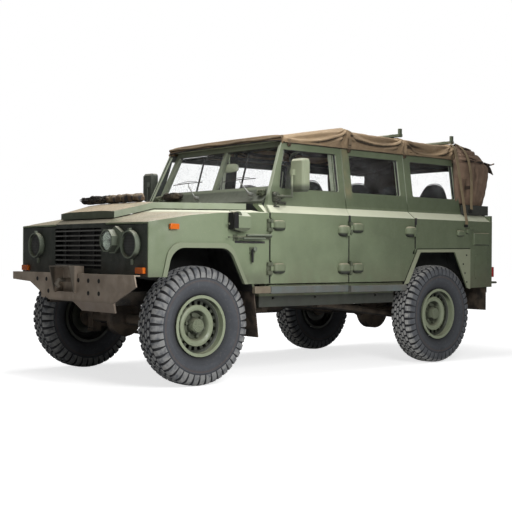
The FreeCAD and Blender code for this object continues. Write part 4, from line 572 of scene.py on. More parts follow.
canvas_tan = cloth("roof_canvas", (0.27, 0.19, 0.11), (0.16, 0.115, 0.072), (0.38, 0.30, 0.2))
canvas_brown = cloth("curtain_canvas", (0.225, 0.150, 0.102), (0.125, 0.085, 0.060), (0.32, 0.24, 0.17), shaded_inside=True)
webbing = cloth("webbing", (0.26, 0.20, 0.118), (0.15, 0.115, 0.07), (0.32, 0.27, 0.18), weave=1600)
seat_cloth = cloth("seat_cloth", (0.026, 0.029, 0.030), (0.014, 0.015, 0.016), (0.05, 0.05, 0.045))
canvas_hem = cloth("canvas_hem", (0.20, 0.145, 0.088), (0.12, 0.088, 0.056), (0.32, 0.26, 0.18))
net_blanket = cloth("net_blanket", (0.085, 0.068, 0.050), (0.030, 0.026, 0.022), (0.24, 0.205, 0.15), weave=1400)
f = Finish("patched_blanket", (0.13, 0.095, 0.065), 0.95)
f.layer((0.030, 0.033, 0.040), f.noise(17, 0.485, 0.53, stretch=(0.5, 1.0, 0.25), detail=1), 0.95)
# tan where the roll looks up, dark brown below: painted light from above
f.layer((0.30, 0.235, 0.165), f.facing(2, 0.30, 0.75), 0.85)
f.layer((0.10, 0.075, 0.052), f.noise(90, 0.52, 0.66, detail=6), 0.5)
f.bump(f.noise(60, 0.3, 0.7, detail=6), 0.002)
patched_blanket = f.mat
net_cloth = cloth("net_cord", (0.075, 0.067, 0.058), (0.022, 0.020, 0.017), (0.26, 0.235, 0.20), weave=2400)

# %% [markdown]
# ## Pressed and cast pieces
# The frame's solids have knife-sharp edges, which sheet metal never has. Each rigid piece is copied, its loose
# triangles are merged back into faces, and a small rounded edge is added, so that the light finds every fold.


# %% Copy a solid with rounded edges
def pressed(node, material, width=0.002, body=None, angle=30, pick=None, name=None, shape=None):
    """Merged copy of a frame piece with rounded edges. pick keeps some of its solids, and shape moves their points."""
    source = frame["nodes"][node]
    mesh = source.data.copy()
    mesh.materials.clear()
    bm = bmesh.new()
    bm.from_mesh(mesh)
    bmesh.ops.remove_doubles(bm, verts=bm.verts, dist=2e-5)
    if pick is not None:
        keep = islands(bm)
        drop = [v for island in keep for v in island if not pick(island)]
        bmesh.ops.delete(bm, geom=drop, context="VERTS")
    if shape is not None:
        for island in islands(bm):
            shape(island)
    bmesh.ops.dissolve_limit(bm, angle_limit=math.radians(0.6), verts=bm.verts, edges=bm.edges)
    bm.to_mesh(mesh)
    bm.free()
    all_smooth(mesh)
    mesh.set_sharp_from_angle(angle=math.radians(angle))
    obj = put(name or f"{node}_finished", mesh)
    mesh.materials.append(material)
    if width:
        bevelled(obj, width, 2, angle)
    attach(obj, body or body_of[node])
    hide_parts(node)
    return obj


def islands(bm):
    """Groups of points that hang together, one group for each separate solid."""
    left, found = set(bm.verts), []
    while left:
        stack, group = [left.pop()], []
        while stack:
            v = stack.pop()
            group.append(v)
            for e in v.link_edges:
                other = e.other_vert(v)
                if other in left:
                    left.remove(other)
                    stack.append(other)
        found.append(group)
    return found


body_of = {n: b for b, ns in frame["record"]["behaviour"]["bodies"].items() for n in ns}

# %% Body panels and metalwork
for node, material, width in (
    ("front_wings", wing_paint, 0.005), ("bonnet", bonnet_paint, 0.006), ("body_sides", olive, 0.003),
    ("quarter_panels", wing_paint, 0.003), ("rear_frame", coaming_grey, 0.003), ("tailgate", olive, 0.003),
    ("door_front_left", olive, 0.002), ("door_front_right", olive, 0.002),
    ("door_rear_left", olive, 0.002), ("door_rear_right", olive, 0.002),
    ("windscreen_frame", screen_paint, 0.003), ("bulkhead", inner_paint, 0.002), ("floor_pan", inner_paint, 0.002),
    ("front_panel", nose_green, 0.008), ("grille", slat_grey, 0.0008), ("headlamps", lamp_paint, 0.003),
    ("front_bumper", bumper_brown, 0.003), ("hinge_posts", hinge_green, 0.0015), ("body_fittings", hinge_green, 0.002),
    ("roof_frame", olive, 0.003), ("roof_poles", hinge_green, 0.002), ("side_steps", rail_grey, 0.004),
    ("mirror_left", mirror_green, 0.003), ("mirror_right", far_mirror, 0.003),
    ("chassis_rails", chassis_black, 0.003), ("crossmembers", chassis_black, 0.003), ("engine", dark_metal, 0.006),
    ("radiator", dark_metal, 0.003), ("driveline", chassis_black, 0.005), ("exhaust", arm_brown, 0.0),
    ("fuel_tank", chassis_black, 0.006), ("front_axle", arm_brown, 0.003), ("rear_axle", arm_brown, 0.003),
    ("suspension", arm_brown, 0.002), ("knuckle_left", arm_brown, 0.002), ("knuckle_right", arm_brown, 0.002),
    ("track_rod", arm_brown, 0.0), ("mudflaps", flap_rubber, 0.002),
    ("rear_lamps", red_lens, 0.004), ("steering_wheel", seal_rubber, 0.0),
):
    pressed(node, material, width)


def smaller(island):
    """Draws a lamp's case in about its own middle, and lowers it a little."""
    middle = sum((v.co for v in island), Vector()) / len(island)
    for v in island:
        v.co.y = middle.y + (v.co.y - middle.y) * 0.82
        v.co.z = middle.z + (v.co.z - middle.z) * 0.74 - 0.006


pressed("indicators", amber, 0.004, shape=smaller)
for corner in ("front_left", "front_right", "rear_left", "rear_right"):
    axle_x = X0 if "front" in corner else X0 - WHEELBASE
    pressed(f"rim_{corner}", wheel_paint(f"wheel_paint_{corner}", axle_x), 0.0015, angle=24)
    frame["nodes"][f"glass_{corner}"].data.materials.clear()
    frame["nodes"][f"glass_{corner}"].data.materials.append(window_glass)
frame["nodes"]["fixed_glass"].data.materials.clear()
frame["nodes"]["fixed_glass"].data.materials.append(window_glass)
print("rigid pieces finished")

# %% [markdown]
# ## Tyres
# A cross-ply military tyre is a smooth sidewall with heavy blocks round it. The sidewall is a profile turned about
# the axle. Each tread block is a short strip carried along that same profile, from the crown over the shoulder,
# so a long lug bends with the tyre. One ring of strips is worked out at once, with the angle as an array.

# %% Tyres
# half section from the crown to the bead: across from the middle, radius
SECTION = np.array([(0, 0.4165), (0.030, 0.4160), (0.060, 0.4140), (0.082, 0.4085), (0.0955, 0.397), (0.1045, 0.375),
                    (0.109, 0.345), (0.1115, 0.312), (0.1105, 0.282), (0.106, 0.258), (0.097, 0.240), (0.088, 0.2315),
                    (0.0835, 0.2225)])


def section_at(s):
    """Point and outward direction on the half section at distance s from the crown, by straight runs."""
    step = np.linalg.norm(np.diff(SECTION, axis=0), axis=1)
    total = np.concatenate([[0], np.cumsum(step)])
    point = np.stack([np.interp(s, total, SECTION[:, k]) for k in (0, 1)], -1)
    ahead = np.stack([np.interp(s + 0.006, total, SECTION[:, k]) for k in (0, 1)], -1)
    behind = np.stack([np.interp(s - 0.006, total, SECTION[:, k]) for k in (0, 1)], -1)
    t = ahead - behind
    t /= np.linalg.norm(t, axis=-1, keepdims=True)
    return point, np.stack([-t[..., 1], t[..., 0]], -1)


def lug_ring(count, phase, s_edges, u_left, u_right, height, side, flank=0.0025):
    """One block repeated round the tyre.

    At each s its foot is wider than its top by flank, and its two ends are closed.

    s_edges lists distances from the crown, u_left and u_right the block's edges along the tread, height its height."""
    s = np.asarray(s_edges, float)
    k = len(s)
    base, out = section_at(s)
    ua, ub, h = (np.broadcast_to(np.asarray(v, float), (k,)) for v in (u_left, u_right, height))
    inset = np.zeros(k)
    inset[0], inset[-1] = 0.0022, -0.0022
    top, _ = section_at(s + inset)
    rows = [(base - out * 0.003, ua - flank), (top + out * (h[:, None] - 0.0015), ua),
            (top + out * h[:, None], ua + 0.0018),
            (top + out * h[:, None], ub - 0.0018), (top + out * (h[:, None] - 0.0015), ub),
            (base - out * 0.003, ub + flank)]
    angle = (np.arange(count) + phase) * 2 * np.pi / count
    points = []
    for place, u in rows:
        theta = angle[:, None] + u[None, :] / 0.42
        r = place[None, :, 1]
        points.append(np.stack([r * np.cos(theta), side * np.broadcast_to(place[None, :, 0], theta.shape),
                                r * np.sin(theta)], -1))
    points = np.stack(points, 2)
    one = grid_faces(k, 6).tolist() + [[0, 1, 2, 3, 4, 5], [(k - 1) * 6 + i for i in (5, 4, 3, 2, 1, 0)]]
    if side < 0:
        one = [face[::-1] for face in one]
    faces = [[i + n * k * 6 for i in face] for n in range(count) for face in one]
    return points.reshape(-1, 3), faces


def wheel_ring(profile, segments=144):
    """Turns a list of (across, radius) about the axle; the profile closes on itself."""
    profile = np.asarray(profile, float)
    t = np.linspace(0, 2 * np.pi, segments, endpoint=False)
    x = profile[None, :, 1] * np.cos(t)[:, None]
    z = profile[None, :, 1] * np.sin(t)[:, None]
    y = np.broadcast_to(profile[None, :, 0], x.shape)
    return np.stack([x, y, z], -1).reshape(-1, 3), grid_faces(segments, len(profile), wrap_rows=True, wrap_cols=True)


def tyre(node, x, side):
    """A whole tyre: turned carcass with rim guard and side ribs, and its rings of blocks."""
    s = np.linspace(0, 0.2075, 40)
    half, out = section_at(s)
    rib = 0.0022 * np.exp(-(((s - 0.168) / 0.004) ** 2)) + 0.0018 * np.exp(-(((s - 0.135) / 0.0025) ** 2))
    half = half + out * rib[:, None]
    inner = [(0.0700, 0.2155), (0.098, 0.262), (0.100, 0.33), (0.085, 0.392), (0.0, 0.400)]
    line = np.concatenate([half, inner])
    profile = np.concatenate([line, (line * (-1, 1))[::-1][1:-1]])
    parts = [wheel_ring(profile[::-1])]
    carcass = len(parts[0][0])
    n = 44
    side_s = [0.060, 0.072, 0.084, 0.096, 0.110, 0.128, 0.146, 0.158]
    left = np.array([-0.0185, -0.0190, -0.0190, -0.0195, -0.0205, -0.0225, -0.0245, -0.0250])
    for sy in (1, -1):
        shift = 0.0 if sy > 0 else 0.5
        parts.append(lug_ring(n, shift, side_s, left, -left,
                              [0.0085, 0.0085, 0.009, 0.0085, 0.0070, 0.0055, 0.0040, 0.0028], sy))
        parts.append(lug_ring(n, shift + 0.45, [0.0290, 0.041, 0.054], [-0.026, -0.017, -0.024],
                              [0.014, 0.023, 0.016], 0.0085, sy))
        parts.append(lug_ring(n, shift + 0.1, [0.0025, 0.013, 0.0245], [-0.024, -0.017, -0.025],
                              [0.017, 0.024, 0.016], 0.0085, sy))
    points, faces = join(parts)
    dust, band = np.zeros(len(points)), np.zeros(len(points))
    r = np.hypot(points[:, 0], points[:, 2])
    wall = np.clip((0.345 - r) / 0.012, 0, 1)
    outer = np.clip((np.abs(points[:, 1]) - 0.085) / 0.02, 0, 1)
    dust[:carcass] = (wall * outer)[:carcass] * (0.70 + 0.25 * np.clip((0.27 - r[:carcass]) / 0.03, 0, 1))
    band[:carcass] = (outer * np.exp(-(((r - 0.322) / 0.0045) ** 2)))[:carcass]
    block_index = np.arange(len(points) - carcass) % 6
    top = np.isin(block_index, (1, 2, 3, 4))
    # block tops get the highest numbers, higher on the rear tyres: dust, and painted light on the tread
    dust[carcass:] = np.where(top, 1.12 - 0.06 * outer[carcass:] if x == 0 else 1.32 - 0.34 * outer[carcass:], 0.04)
    obj = mesh_object(f"tyre_with_tread_{node[5:]}", points + (x, side * TRACK_Y, TYRE_R), faces, tyre_rubber,
                      body_of[node], replaces=(node,))
    point_numbers(obj, "dust", dust)
    point_numbers(obj, "ring", band)
    print(obj.name, len(obj.data.polygons), "faces")
    return obj


for node, x, side in (("tyre_front_left", 0, 1), ("tyre_front_right", 0, -1),
                      ("tyre_rear_left", -WHEELBASE, 1), ("tyre_rear_right", -WHEELBASE, -1)):
    tyre(node, x, side)
    # a dark plate inside the barrel closes the view through the slots
    plate = [(-0.020, 0.1405), (-0.020, 0.1960), (-0.024, 0.1960), (-0.024, 0.1405)]
    plate_points, plate_faces = wheel_ring([(side * a, r) for a, r in (plate if side < 0 else plate[::-1])], 72)
    mesh_object(f"brake_plate_{node[5:]}", plate_points + (x, side * TRACK_Y, TYRE_R), plate_faces, matt_black,
                body_of[node])

# %% [markdown]
# ## Canvas roof
# On the real car one sheet of proofed canvas lies over three hoops and is laced down at each of them. It could be
# draped by a cloth simulation, but taut canvas has a shape that can be written down: between two supports it hangs a
# little hollow, its edge fold sinks in a long curve, and each hoop's corner pulls folds into a fan. So it is one grid:
# rows run along the car, columns run from one hem over the top to the other.

# %% Roof canvas
STOPS = np.array([-0.868, -1.560, -2.250, -2.925, -2.976])        # header, three hoops, rear hem
SLACK = np.array([0.8, 1.0, 1.5, 0.0])                            # how loose each bay hangs


def canvas_top(x):
    """Height of the canvas over its supports at x, by straight runs from hoop to hoop."""
    return np.interp(-x, [0.868, 1.555, 1.640, 2.250, 2.975], [1.866, 1.978, 1.966, 1.953, 1.946])


def slack_at(x):
    """How far the canvas has sunk at x: nothing at a support, most midway, looser in some bays."""
    bay = np.clip(np.searchsorted(-STOPS, -x, side="right") - 1, 0, len(SLACK) - 1)
    t = np.clip((x - STOPS[bay]) / (STOPS[bay + 1] - STOPS[bay]), 0, 1)
    return SLACK[bay] * (4 * t * (1 - t)) ** 0.75


def outward(points):
    """Unit direction across a grid surface at each point, from its neighbours along rows and columns."""
    n = np.cross(np.gradient(points, axis=0), np.gradient(points, axis=1))
    return n / np.maximum(np.linalg.norm(n, axis=-1, keepdims=True), 1e-9)


def roof_grid(rows=250, cols=150):
    """Points of the canvas roof. The first rows turn down over the header, and the rest run to the rear hoop."""
    x = np.concatenate([np.linspace(-0.850, -0.858, 8), np.linspace(-0.862, STOPS[-1], rows - 8)])
    top = canvas_top(x)
    top[:8] = np.linspace(1.824, 1.860, 8)
    # half section from the hem up: across, fixed height, share of the top's height, sinking, drawing in
    half = np.array([(0.7525, 1.798, 0.0, -0.002, 0.002), (0.7520, 1.806, 0.0, -0.002, 0.004),
                     (0.7500, 0.888, 0.5, 0.000, 0.014), (0.7460, -0.046, 1.0, 0.006, 0.014),
                     (0.7180, -0.010, 1.0, 0.010, 0.008), (0.5700, -0.003, 1.0, 0.014, 0.0),
                     (0.3000, -0.001, 1.0, 0.018, 0.0), (0.0, 0.0, 1.0, 0.020, 0.0)])
    other = half[:-1][::-1] * (-1, 1, 1, 1, 1)
    control = np.concatenate([half, other])
    weight = smooth_path(np.eye(len(control)), cols)
    across, fixed, share, sink, draw = (weight @ control).T
    slack = slack_at(x)[:, None]
    y = across[None, :] - np.sign(across)[None, :] * np.abs(draw)[None, :] * slack
    z = fixed[None, :] + share[None, :] * top[:, None] - sink[None, :] * slack
    points = np.stack([np.broadcast_to(x[:, None], y.shape), y, z], -1)
    # folds of the sides: a long sunken curve between hoops, and a fan below each hoop's corner
    high = z - 1.80
    side = np.clip((np.abs(y) - 0.60) / 0.10, 0, 1)
    curve = top[:, None] - 1.838 - 0.066 * slack
    move = 0.015 * np.exp(-(((high - curve) / 0.013) ** 2)) - 0.016 * np.exp(-(((high - curve - 0.036) / 0.022) ** 2))
    move = (move + 0.008 * np.exp(-(((high - curve + 0.030) / 0.010) ** 2))
            - 0.009 * np.exp(-(((high - curve + 0.015) / 0.010) ** 2)))
    move = move * np.clip(slack * 3, 0, 1)
    for i, stop in enumerate(STOPS[1:4]):
        dx, dz = x[:, None] - stop, top[:, None] - 0.02 - z
        far, turn = np.hypot(dx, dz), np.arctan2(dz, np.abs(dx))
        fan = np.sin(10 * turn + 0.9 * np.sign(dx) + i) * np.exp(-far / 0.20) * (1 - np.exp(-((far / 0.018) ** 2)))
        fan = fan * np.clip((dz + 0.005) / 0.03, 0, 1)
        move = move + 0.018 * fan + 0.006 * np.exp(-((dx / 0.020) ** 2)) * (far > 0.01)
    low = np.clip(high / 0.03, 0, 1)
    y_sign = np.sign(y)
    drift = np.sin(x[:, None] * 41 + y * 9) * np.sin(x[:, None] * 17 - y_sign * 2 + y * 23) * 0.0022
    points = points + outward(points) * ((move * side * low + drift * np.clip(slack * 2, 0.15, 1))[..., None])
    # at the hem a narrow sewn fold stands out a little
    hem = np.exp(-(((high - 0.018) / 0.0022) ** 2)) * side
    return points - outward(points) * (hem * 0.0012)[..., None]


def sheet_object(name, points, material, body, thick, replaces=(), openings=()):
    """A grid as a cloth mesh of even thickness, grown inwards by Solidify.

    Each opening is a range of rows and columns."""
    rows, cols = points.shape[:2]
    faces = grid_faces(rows, cols)
    keep = np.ones((rows - 1, cols - 1), bool)
    for r0, r1, c0, c1 in openings:
        keep[r0:r1, c0:c1] = False
    obj = mesh_object(name, points, faces[keep.ravel()].tolist(), material, body, replaces=replaces)
    all_smooth(obj.data)
    m = obj.modifiers.new("thickness", "SOLIDIFY")
    m.thickness = thick
    m.offset = -1
    return obj


def cloth_area(points):
    """Area of a grid of quads: half the cross product of each quad's diagonals."""
    a, b = points[1:, 1:] - points[:-1, :-1], points[1:, :-1] - points[:-1, 1:]
    return float(np.linalg.norm(np.cross(a, b), axis=-1).sum() / 2)


roof = roof_grid()
canvas = sheet_object("canvas_roof", roof, canvas_tan, "car", 0.003, replaces=("roof_canvas",))
girth = float(np.linalg.norm(np.diff(roof, axis=1), axis=-1).sum(1).mean())
long_way = float(np.linalg.norm(np.diff(roof, axis=0), axis=-1).sum(0).mean())
print("canvas roof", round(girth, 3), "by", round(long_way, 3), "m, area", round(cloth_area(roof), 3))

# %% [markdown]
# The hem carries a rope, and at each hoop a sewn strap comes down the side to a buckle under the roof rail.

# %% Hems, straps and buckles of the roof
edge = []
for col, out in ((0, 1), (-1, -1)):
    edge.append(tube(roof[8:, col][::4] + (0, out * 0.003, -0.002), 0.0042, 6))
front_line = np.stack([np.full(60, -0.853), np.linspace(-0.735, 0.735, 60),
                       1.838 + 0.003 * np.sin(np.linspace(0, 21, 60))], -1)
edge.append(tube(front_line, 0.0125 + 0.0015 * np.sin(np.linspace(0, 33, 60)), 10))
hem = mesh_object("roof_hem", *join(edge), canvas_hem, "car")
straps, buckles = [], []
for stop in (-0.905, -1.560, -2.250, -2.905):
    row = int(np.argmin(np.abs(roof[:, 40, 0] - stop)))
    for sign, cols in ((1, slice(22, None, -2)), (-1, slice(-23, None, 2))):
        line = roof[row, cols]
        line = line[:11] + (0, sign * 0.0035, 0.0008)
        tail = np.array([(line[-1][0], sign * 0.7575, z) for z in (1.794, 1.780, 1.770)])
        straps.append(ribbon(np.concatenate([line, tail]), (1, 0, 0), 0.032, 0.004))
        x = line[-1][0]
        buckles.append(block(x - 0.016, x + 0.016, sign * 0.757, sign * 0.764, 1.778, 1.795))
        buckles.append(block(x - 0.008, x + 0.008, sign * 0.750, sign * 0.768, 1.766, 1.779))
roof_straps = mesh_object("roof_straps", *join(straps), canvas_hem, "car", smooth=False)
bevelled(mesh_object("roof_buckles", *join(buckles), buckle_steel, "car"), 0.0015)
header = [(-0.852, y, 1.8215 - 0.012 * (y / 0.72) ** 8) for y in np.linspace(-0.73, 0.73, 41)]
mesh_object("header_rubber", *tube(header, 0.0065, 8), seal_rubber, "car")

# %% [markdown]
# ## Rear curtain
# The rear curtain is rolled loosely from the last hoop and hangs into the body, so it bulges, folds across at the
# top and falls in pleats below. In plan it is a U with soft corners, drawn as a rounded rectangle (a superellipse).
# Its pleats are cusps pressed into the U: deep, narrow valleys with broad smooth cloth between them.

# %% Rear curtain
# from the coaming up to the hoop: height, rear end, half width, front edge
LEVELS = np.array([(1.386, -3.395, 0.782, -2.962), (1.410, -3.410, 0.788, -2.905), (1.520, -3.462, 0.794, -2.876),
                   (1.660, -3.505, 0.798, -2.862), (1.745, -3.512, 0.798, -2.860), (1.778, -3.485, 0.794, -2.864),
                   (1.800, -3.436, 0.788, -2.885), (1.835, -3.385, 0.780, -2.915), (1.868, -3.335, 0.770, -2.935),
                   (1.897, -3.250, 0.756, -2.950), (1.920, -3.150, 0.745, -2.958), (1.942, -3.030, 0.734, -2.966),
                   (1.948, -2.979, 0.728, -2.970)])


def curtain_grid(rows=150, cols=340):
    """Points of the rear curtain, from the coaming up, and round from the left front edge to the right one."""
    level = smooth_path(LEVELS, rows)
    z, rear, wide, front = (level[:, k][:, None] for k in range(4))
    turn = np.linspace(-np.pi / 2, np.pi / 2, cols)
    turn = turn - 0.16 * np.sin(2 * turn)[None, :]
    power = 2 / 8.0
    along = np.abs(np.cos(turn)) ** power
    across = -np.sign(np.sin(turn)) * np.abs(np.sin(turn)) ** power
    x = front + (rear - front) * along
    y = wide * across
    points = np.stack([x, y, np.broadcast_to(z, x.shape)], -1)
    # length round the U at mid height, from the left front edge
    mid = points[rows // 3]
    run = np.concatenate([[0], np.cumsum(np.linalg.norm(np.diff(mid, axis=0), axis=1))])[None, :]
    whole = run[0, -1]
    pleats = [(0.050, 0.018, 0.014), (0.096, 0.026, 0.014), (0.150, 0.018, 0.012), (0.212, 0.036, 0.018),
              (0.262, 0.012, 0.010),
              (0.330, 0.016, 0.014)]
    back = [(0.62 + 0.135 * k + 0.03 * math.sin(5.1 * k), 0.020 + 0.008 * math.sin(2.3 * k), 0.022) for k in range(8)]
    move = np.zeros_like(x)
    for at, deep, broad in pleats + [(whole - a, d, b) for a, d, b in pleats] + back:
        sway = at + (1.62 - z) * 0.10 * math.sin(at * 37) * 0.6
        gap = np.abs(run - sway)
        move = move - deep * np.exp(-gap / broad) + 0.35 * deep * np.exp(-(((gap - broad * 1.9) / broad) ** 2))
    hang = np.clip((1.792 - z) / 0.09, 0, 1) * (0.55 + 0.45 * np.clip((z - 1.38) / 0.12, 0, 1))
    move = move * hang
    # cross folds of the bulging top, slanting down towards the rear, and the collar that overhangs the pleats
    upper = np.clip((z - 1.795) / 0.02, 0, 1) * np.clip((1.937 - z) / 0.03, 0, 1)
    height = np.cumsum(np.concatenate([[0], np.linalg.norm(np.diff(level[:, :2], axis=0), axis=1)]))[:, None]
    wave = height / 0.078 + 0.9 * np.sin(run * 2.9 + 0.6) + 0.35 * np.sin(run * 8.3 + height * 21) + run * 1.6
    fold = np.abs(np.sin(np.pi * wave)) ** 0.55
    move = move + upper * (fold - 0.62) * (0.024 + 0.012 * np.sin(run * 4.1 + height * 17))
    collar = np.exp(-(((z - 1.802) / 0.010) ** 2)) * 0.012 - np.exp(-(((z - 1.786) / 0.007) ** 2)) * 0.008
    move = move + collar * (1 + 0.5 * np.sin(run * 31))
    move = move + 0.003 * np.sin(run * 55 + z * 30) * np.sin(z * 47 - run * 21)
    away = outward(points)
    faces_out = (-away[..., :1] * along[..., None] + away[..., 1:2] * across[..., None]
                 + away[..., 2:] * 0.5)
    away = away * np.sign(faces_out)
    fade = np.clip(np.minimum(run, whole - run) / 0.02, 0.15, 1)
    return points + away * (move * fade)[..., None]


curtain_points = curtain_grid()
mid_row = curtain_points[60]
top_row = int(np.argmin(np.abs(curtain_points[:, 0, 2] - 1.783)))
back_cols = np.flatnonzero((np.abs(mid_row[:, 1]) < 0.42) & (mid_row[:, 0] < -3.30))
flank_cols = np.flatnonzero((mid_row[:, 1] < 0) & (mid_row[:, 0] > -3.375) & (mid_row[:, 0] < -3.13))
gaps = [(0, top_row, back_cols[0], back_cols[-1]), (0, top_row, flank_cols[0], flank_cols[-1])]
curtain = sheet_object("rear_curtain_cloth", curtain_points, canvas_brown, "car", 0.003, replaces=("rear_curtain",),
                       openings=gaps)
round_way = float(np.linalg.norm(np.diff(curtain_points, axis=1), axis=-1).sum(1).mean())
tall = float(np.linalg.norm(np.diff(curtain_points, axis=0), axis=-1).sum(0).mean())
print("rear curtain", round(round_way, 3), "by", round(tall, 3), "m, area", round(cloth_area(curtain_points), 3))


def flap(name, base_a, base_b, tip, bow, cols=9, rows=14):
    """A pointed corner of loose cloth: rows run from a base line to the tip, bowed in the middle."""
    a, b, c = (np.asarray(p, float) for p in (base_a, base_b, tip))
    s, t = np.linspace(0, 1, rows)[:, None, None], np.linspace(0, 1, cols)[None, :, None]
    line = a + (b - a) * t
    middle = (a + b) / 2
    p = line + (c - middle) * s + (middle - line) * s * 0.94
    p = p + np.asarray(bow, float) * np.sin(np.pi * s) * (0.6 + 0.4 * np.sin(np.pi * t))
    p = p + np.array([0, 0, 1.0]) * 0.006 * np.sin(9 * t + 5 * s) * s
    return sheet_object(name, p, canvas_brown, "car", 0.0035)


for word, sign in SIDES:
    flap(f"curtain_corner_{word}", (-3.35, sign * 0.775, 1.800), (-3.405, sign * 0.60, 1.776),
                      (-3.535, sign * 0.745, 1.800), (0.0, 0.0, -0.016))
    flap(f"curtain_tail_{word}", (-3.395, sign * 0.775, 1.785), (-3.425, sign * 0.66, 1.735),
                      (-3.520, sign * 0.742, 1.700), (-0.014, 0.0, 0.012))
hems = []
for _, r1, c0, c1 in gaps:
    for col in (c0, c1):
        hems.append(tube(curtain_points[:r1 + 1:3, col], 0.005, 6))
    rolled = curtain_points[r1 + 2, c0:c1 + 1:2] * (1, 0.985, 1) + (0.012, 0, -0.010)
    lumps = 0.017 + 0.004 * np.sin(np.linspace(0, 40, len(rolled)))
    hems.append(tube(rolled, lumps, 12))
curtain_hems = mesh_object("curtain_hems", *join(hems), canvas_brown, "car")

# %% [markdown]
# Two straps a side hold the roof down: one runs from the last hoop to the hook on the quarter panel, the other to
# the coaming. Straps under tension are straight, so each is a flat ribbon through a few chosen points.

# %% Tie-down straps
long_straps, clips = [], []
for s in (1, -1):
    first = [(-2.905, s * 0.700, 1.960), (-2.908, s * 0.768, 1.922), (-2.914, s * 0.796, 1.82),
             (-2.926, s * 0.816, 1.66),
             (-2.940, s * 0.832, 1.52), (-2.953, s * 0.848, 1.39), (-2.950, s * 0.864, 1.305),
             (-2.930, s * 0.898, 1.246),
             (-2.918, s * 0.904, 1.206)]
    second = [(-2.955, s * 0.700, 1.968), (-2.992, s * 0.772, 1.930), (-3.048, s * 0.815, 1.838),
              (-3.080, s * 0.832, 1.67),
              (-3.078, s * 0.836, 1.52), (-3.066, s * 0.840, 1.41), (-3.066, s * 0.848, 1.345)]
    for line, wide in ((first, 0.038), (second, 0.036)):
        path = smooth_path(line, 60)
        long_straps.append(ribbon(path, (1, 0, 0.15), wide, 0.003))
    clips.append(block(-2.900, -2.936, s * 0.890, s * 0.908, 1.188, 1.212))
    clips.append(block(-3.040, -3.076, s * 0.831, s * 0.846, 1.322, 1.350))
bevelled(mesh_object("hold_down_straps", *join(long_straps), webbing, "car", smooth=False), 0.0008)
bevelled(mesh_object("strap_clips", *join(clips), dark_metal, "car"), 0.002)

# %% [markdown]
# ## Rolled nets
# A camouflage net rolled in a blanket lies across the bonnet, and a shorter one at the foot of the windscreen. Each
# is a lumpy roll: a tube whose radius follows a few waves, wound round with many turns of cord. The net's loose end
# is a knot of thick cords that cross each other.


# %% Nets
def roll(y0, y1, x, z, r, bands, seed, material, name, body, wound=0.06):
    """Lumpy roll across the car: radius waves along it and round it, pinched at each band, flat where it lies."""
    rows, cols = 150, 44
    g = np.random.default_rng(seed)
    y = np.linspace(y0, y1, rows)[:, None]
    t = np.linspace(0, 2 * np.pi, cols, endpoint=False)[None, :]
    radius = np.full((rows, cols), r)
    for k in range(7):
        radius = radius + r * 0.05 * np.sin(g.uniform(15, 70) * y + g.integers(1, 5) * t + g.uniform(0, 6.3))
    for at in bands:
        radius = radius - r * 0.17 * np.exp(-(((y - at) / 0.008) ** 2))
    end = np.minimum(y - y0, y1 - y) / 0.05
    radius = radius * np.clip(1 - (1 - np.clip(end, 0, 1)) ** 3, 0.12, 1)
    winding = np.abs(np.sin(np.pi * (y / 0.021 + t / np.pi + 0.4 * np.sin(y * 31)))) ** 0.5
    radius = radius * (0.95 + wound * winding)
    height = np.maximum(radius * np.sin(t), -r * 0.93)
    points = np.stack([x + radius * np.cos(t) * 1.02 + 0.006 * np.sin(y * 13), np.broadcast_to(y, radius.shape),
                       z + height], -1)
    faces = grid_faces(rows, cols, wrap_cols=True)[:, ::-1].tolist()
    faces += [list(range(cols)), list(range((rows - 1) * cols, rows * cols))[::-1]]
    obj = mesh_object(name, points, faces, material, body)
    all_smooth(obj.data)
    return obj


def tangle(centre, size, count, thick, seed):
    """A knot of cords: each is a closed loop on a lumpy ball, given by three slow waves."""
    g = np.random.default_rng(seed)
    t = np.linspace(0, 2 * np.pi, 26)
    made = []
    for _ in range(count):
        a, b, c = g.uniform(0, 6.3, 3)
        m, n = g.integers(1, 4, 2)
        lon, lat = m * t + a, 0.9 * np.sin(n * t + b)
        wave = 1 + 0.25 * np.sin(3 * t + c)
        ball = np.stack([np.cos(lat) * np.cos(lon), np.cos(lat) * np.sin(lon), np.sin(lat)], -1)
        p = np.asarray(centre) + ball * np.asarray(size) * wave[:, None] * g.uniform(0.55, 0.98)
        made.append(tube(p, thick * g.uniform(0.7, 1.3), 5))
    return made


BONNET_Z = 1.3165
NET_BANDS = (-0.13, 0.03, 0.20)       # Y of the bands round the bonnet roll
roll(-0.22, 0.285, 0.120, BONNET_Z + 0.034, 0.0335, NET_BANDS, 4, patched_blanket, "bonnet_blanket", "bonnet",
     wound=0.015)
roll(-0.52, -0.19, 0.120, BONNET_Z + 0.026, 0.0240, (-0.40, -0.28), 14, net_blanket, "bonnet_net", "bonnet")
knots = tangle((0.120, -0.50, BONNET_Z + 0.034), (0.038, 0.085, 0.029), 30, 0.0032, 5)
knots += tangle((0.120, -0.36, BONNET_Z + 0.040), (0.038, 0.090, 0.031), 34, 0.0032, 8)
knots += tangle((0.118, -0.215, BONNET_Z + 0.040), (0.036, 0.060, 0.030), 22, 0.003, 9)
bonnet_cords = mesh_object("bonnet_net_cords", *join(knots), net_cloth, "bonnet")
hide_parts("bonnet_roll")
bands = []
for at in NET_BANDS:
    t = np.linspace(0, 2 * np.pi, 25)
    ring = np.stack([0.120 + 0.0335 * np.cos(t), np.full(25, at),
                     BONNET_Z + 0.034 + np.maximum(0.0325 * np.sin(t), -0.031)], -1)
    bands.append(ribbon(ring, (0, 1, 0), 0.022, 0.0025))
mesh_object("bonnet_net_straps", *join(bands), webbing, "bonnet", smooth=False)

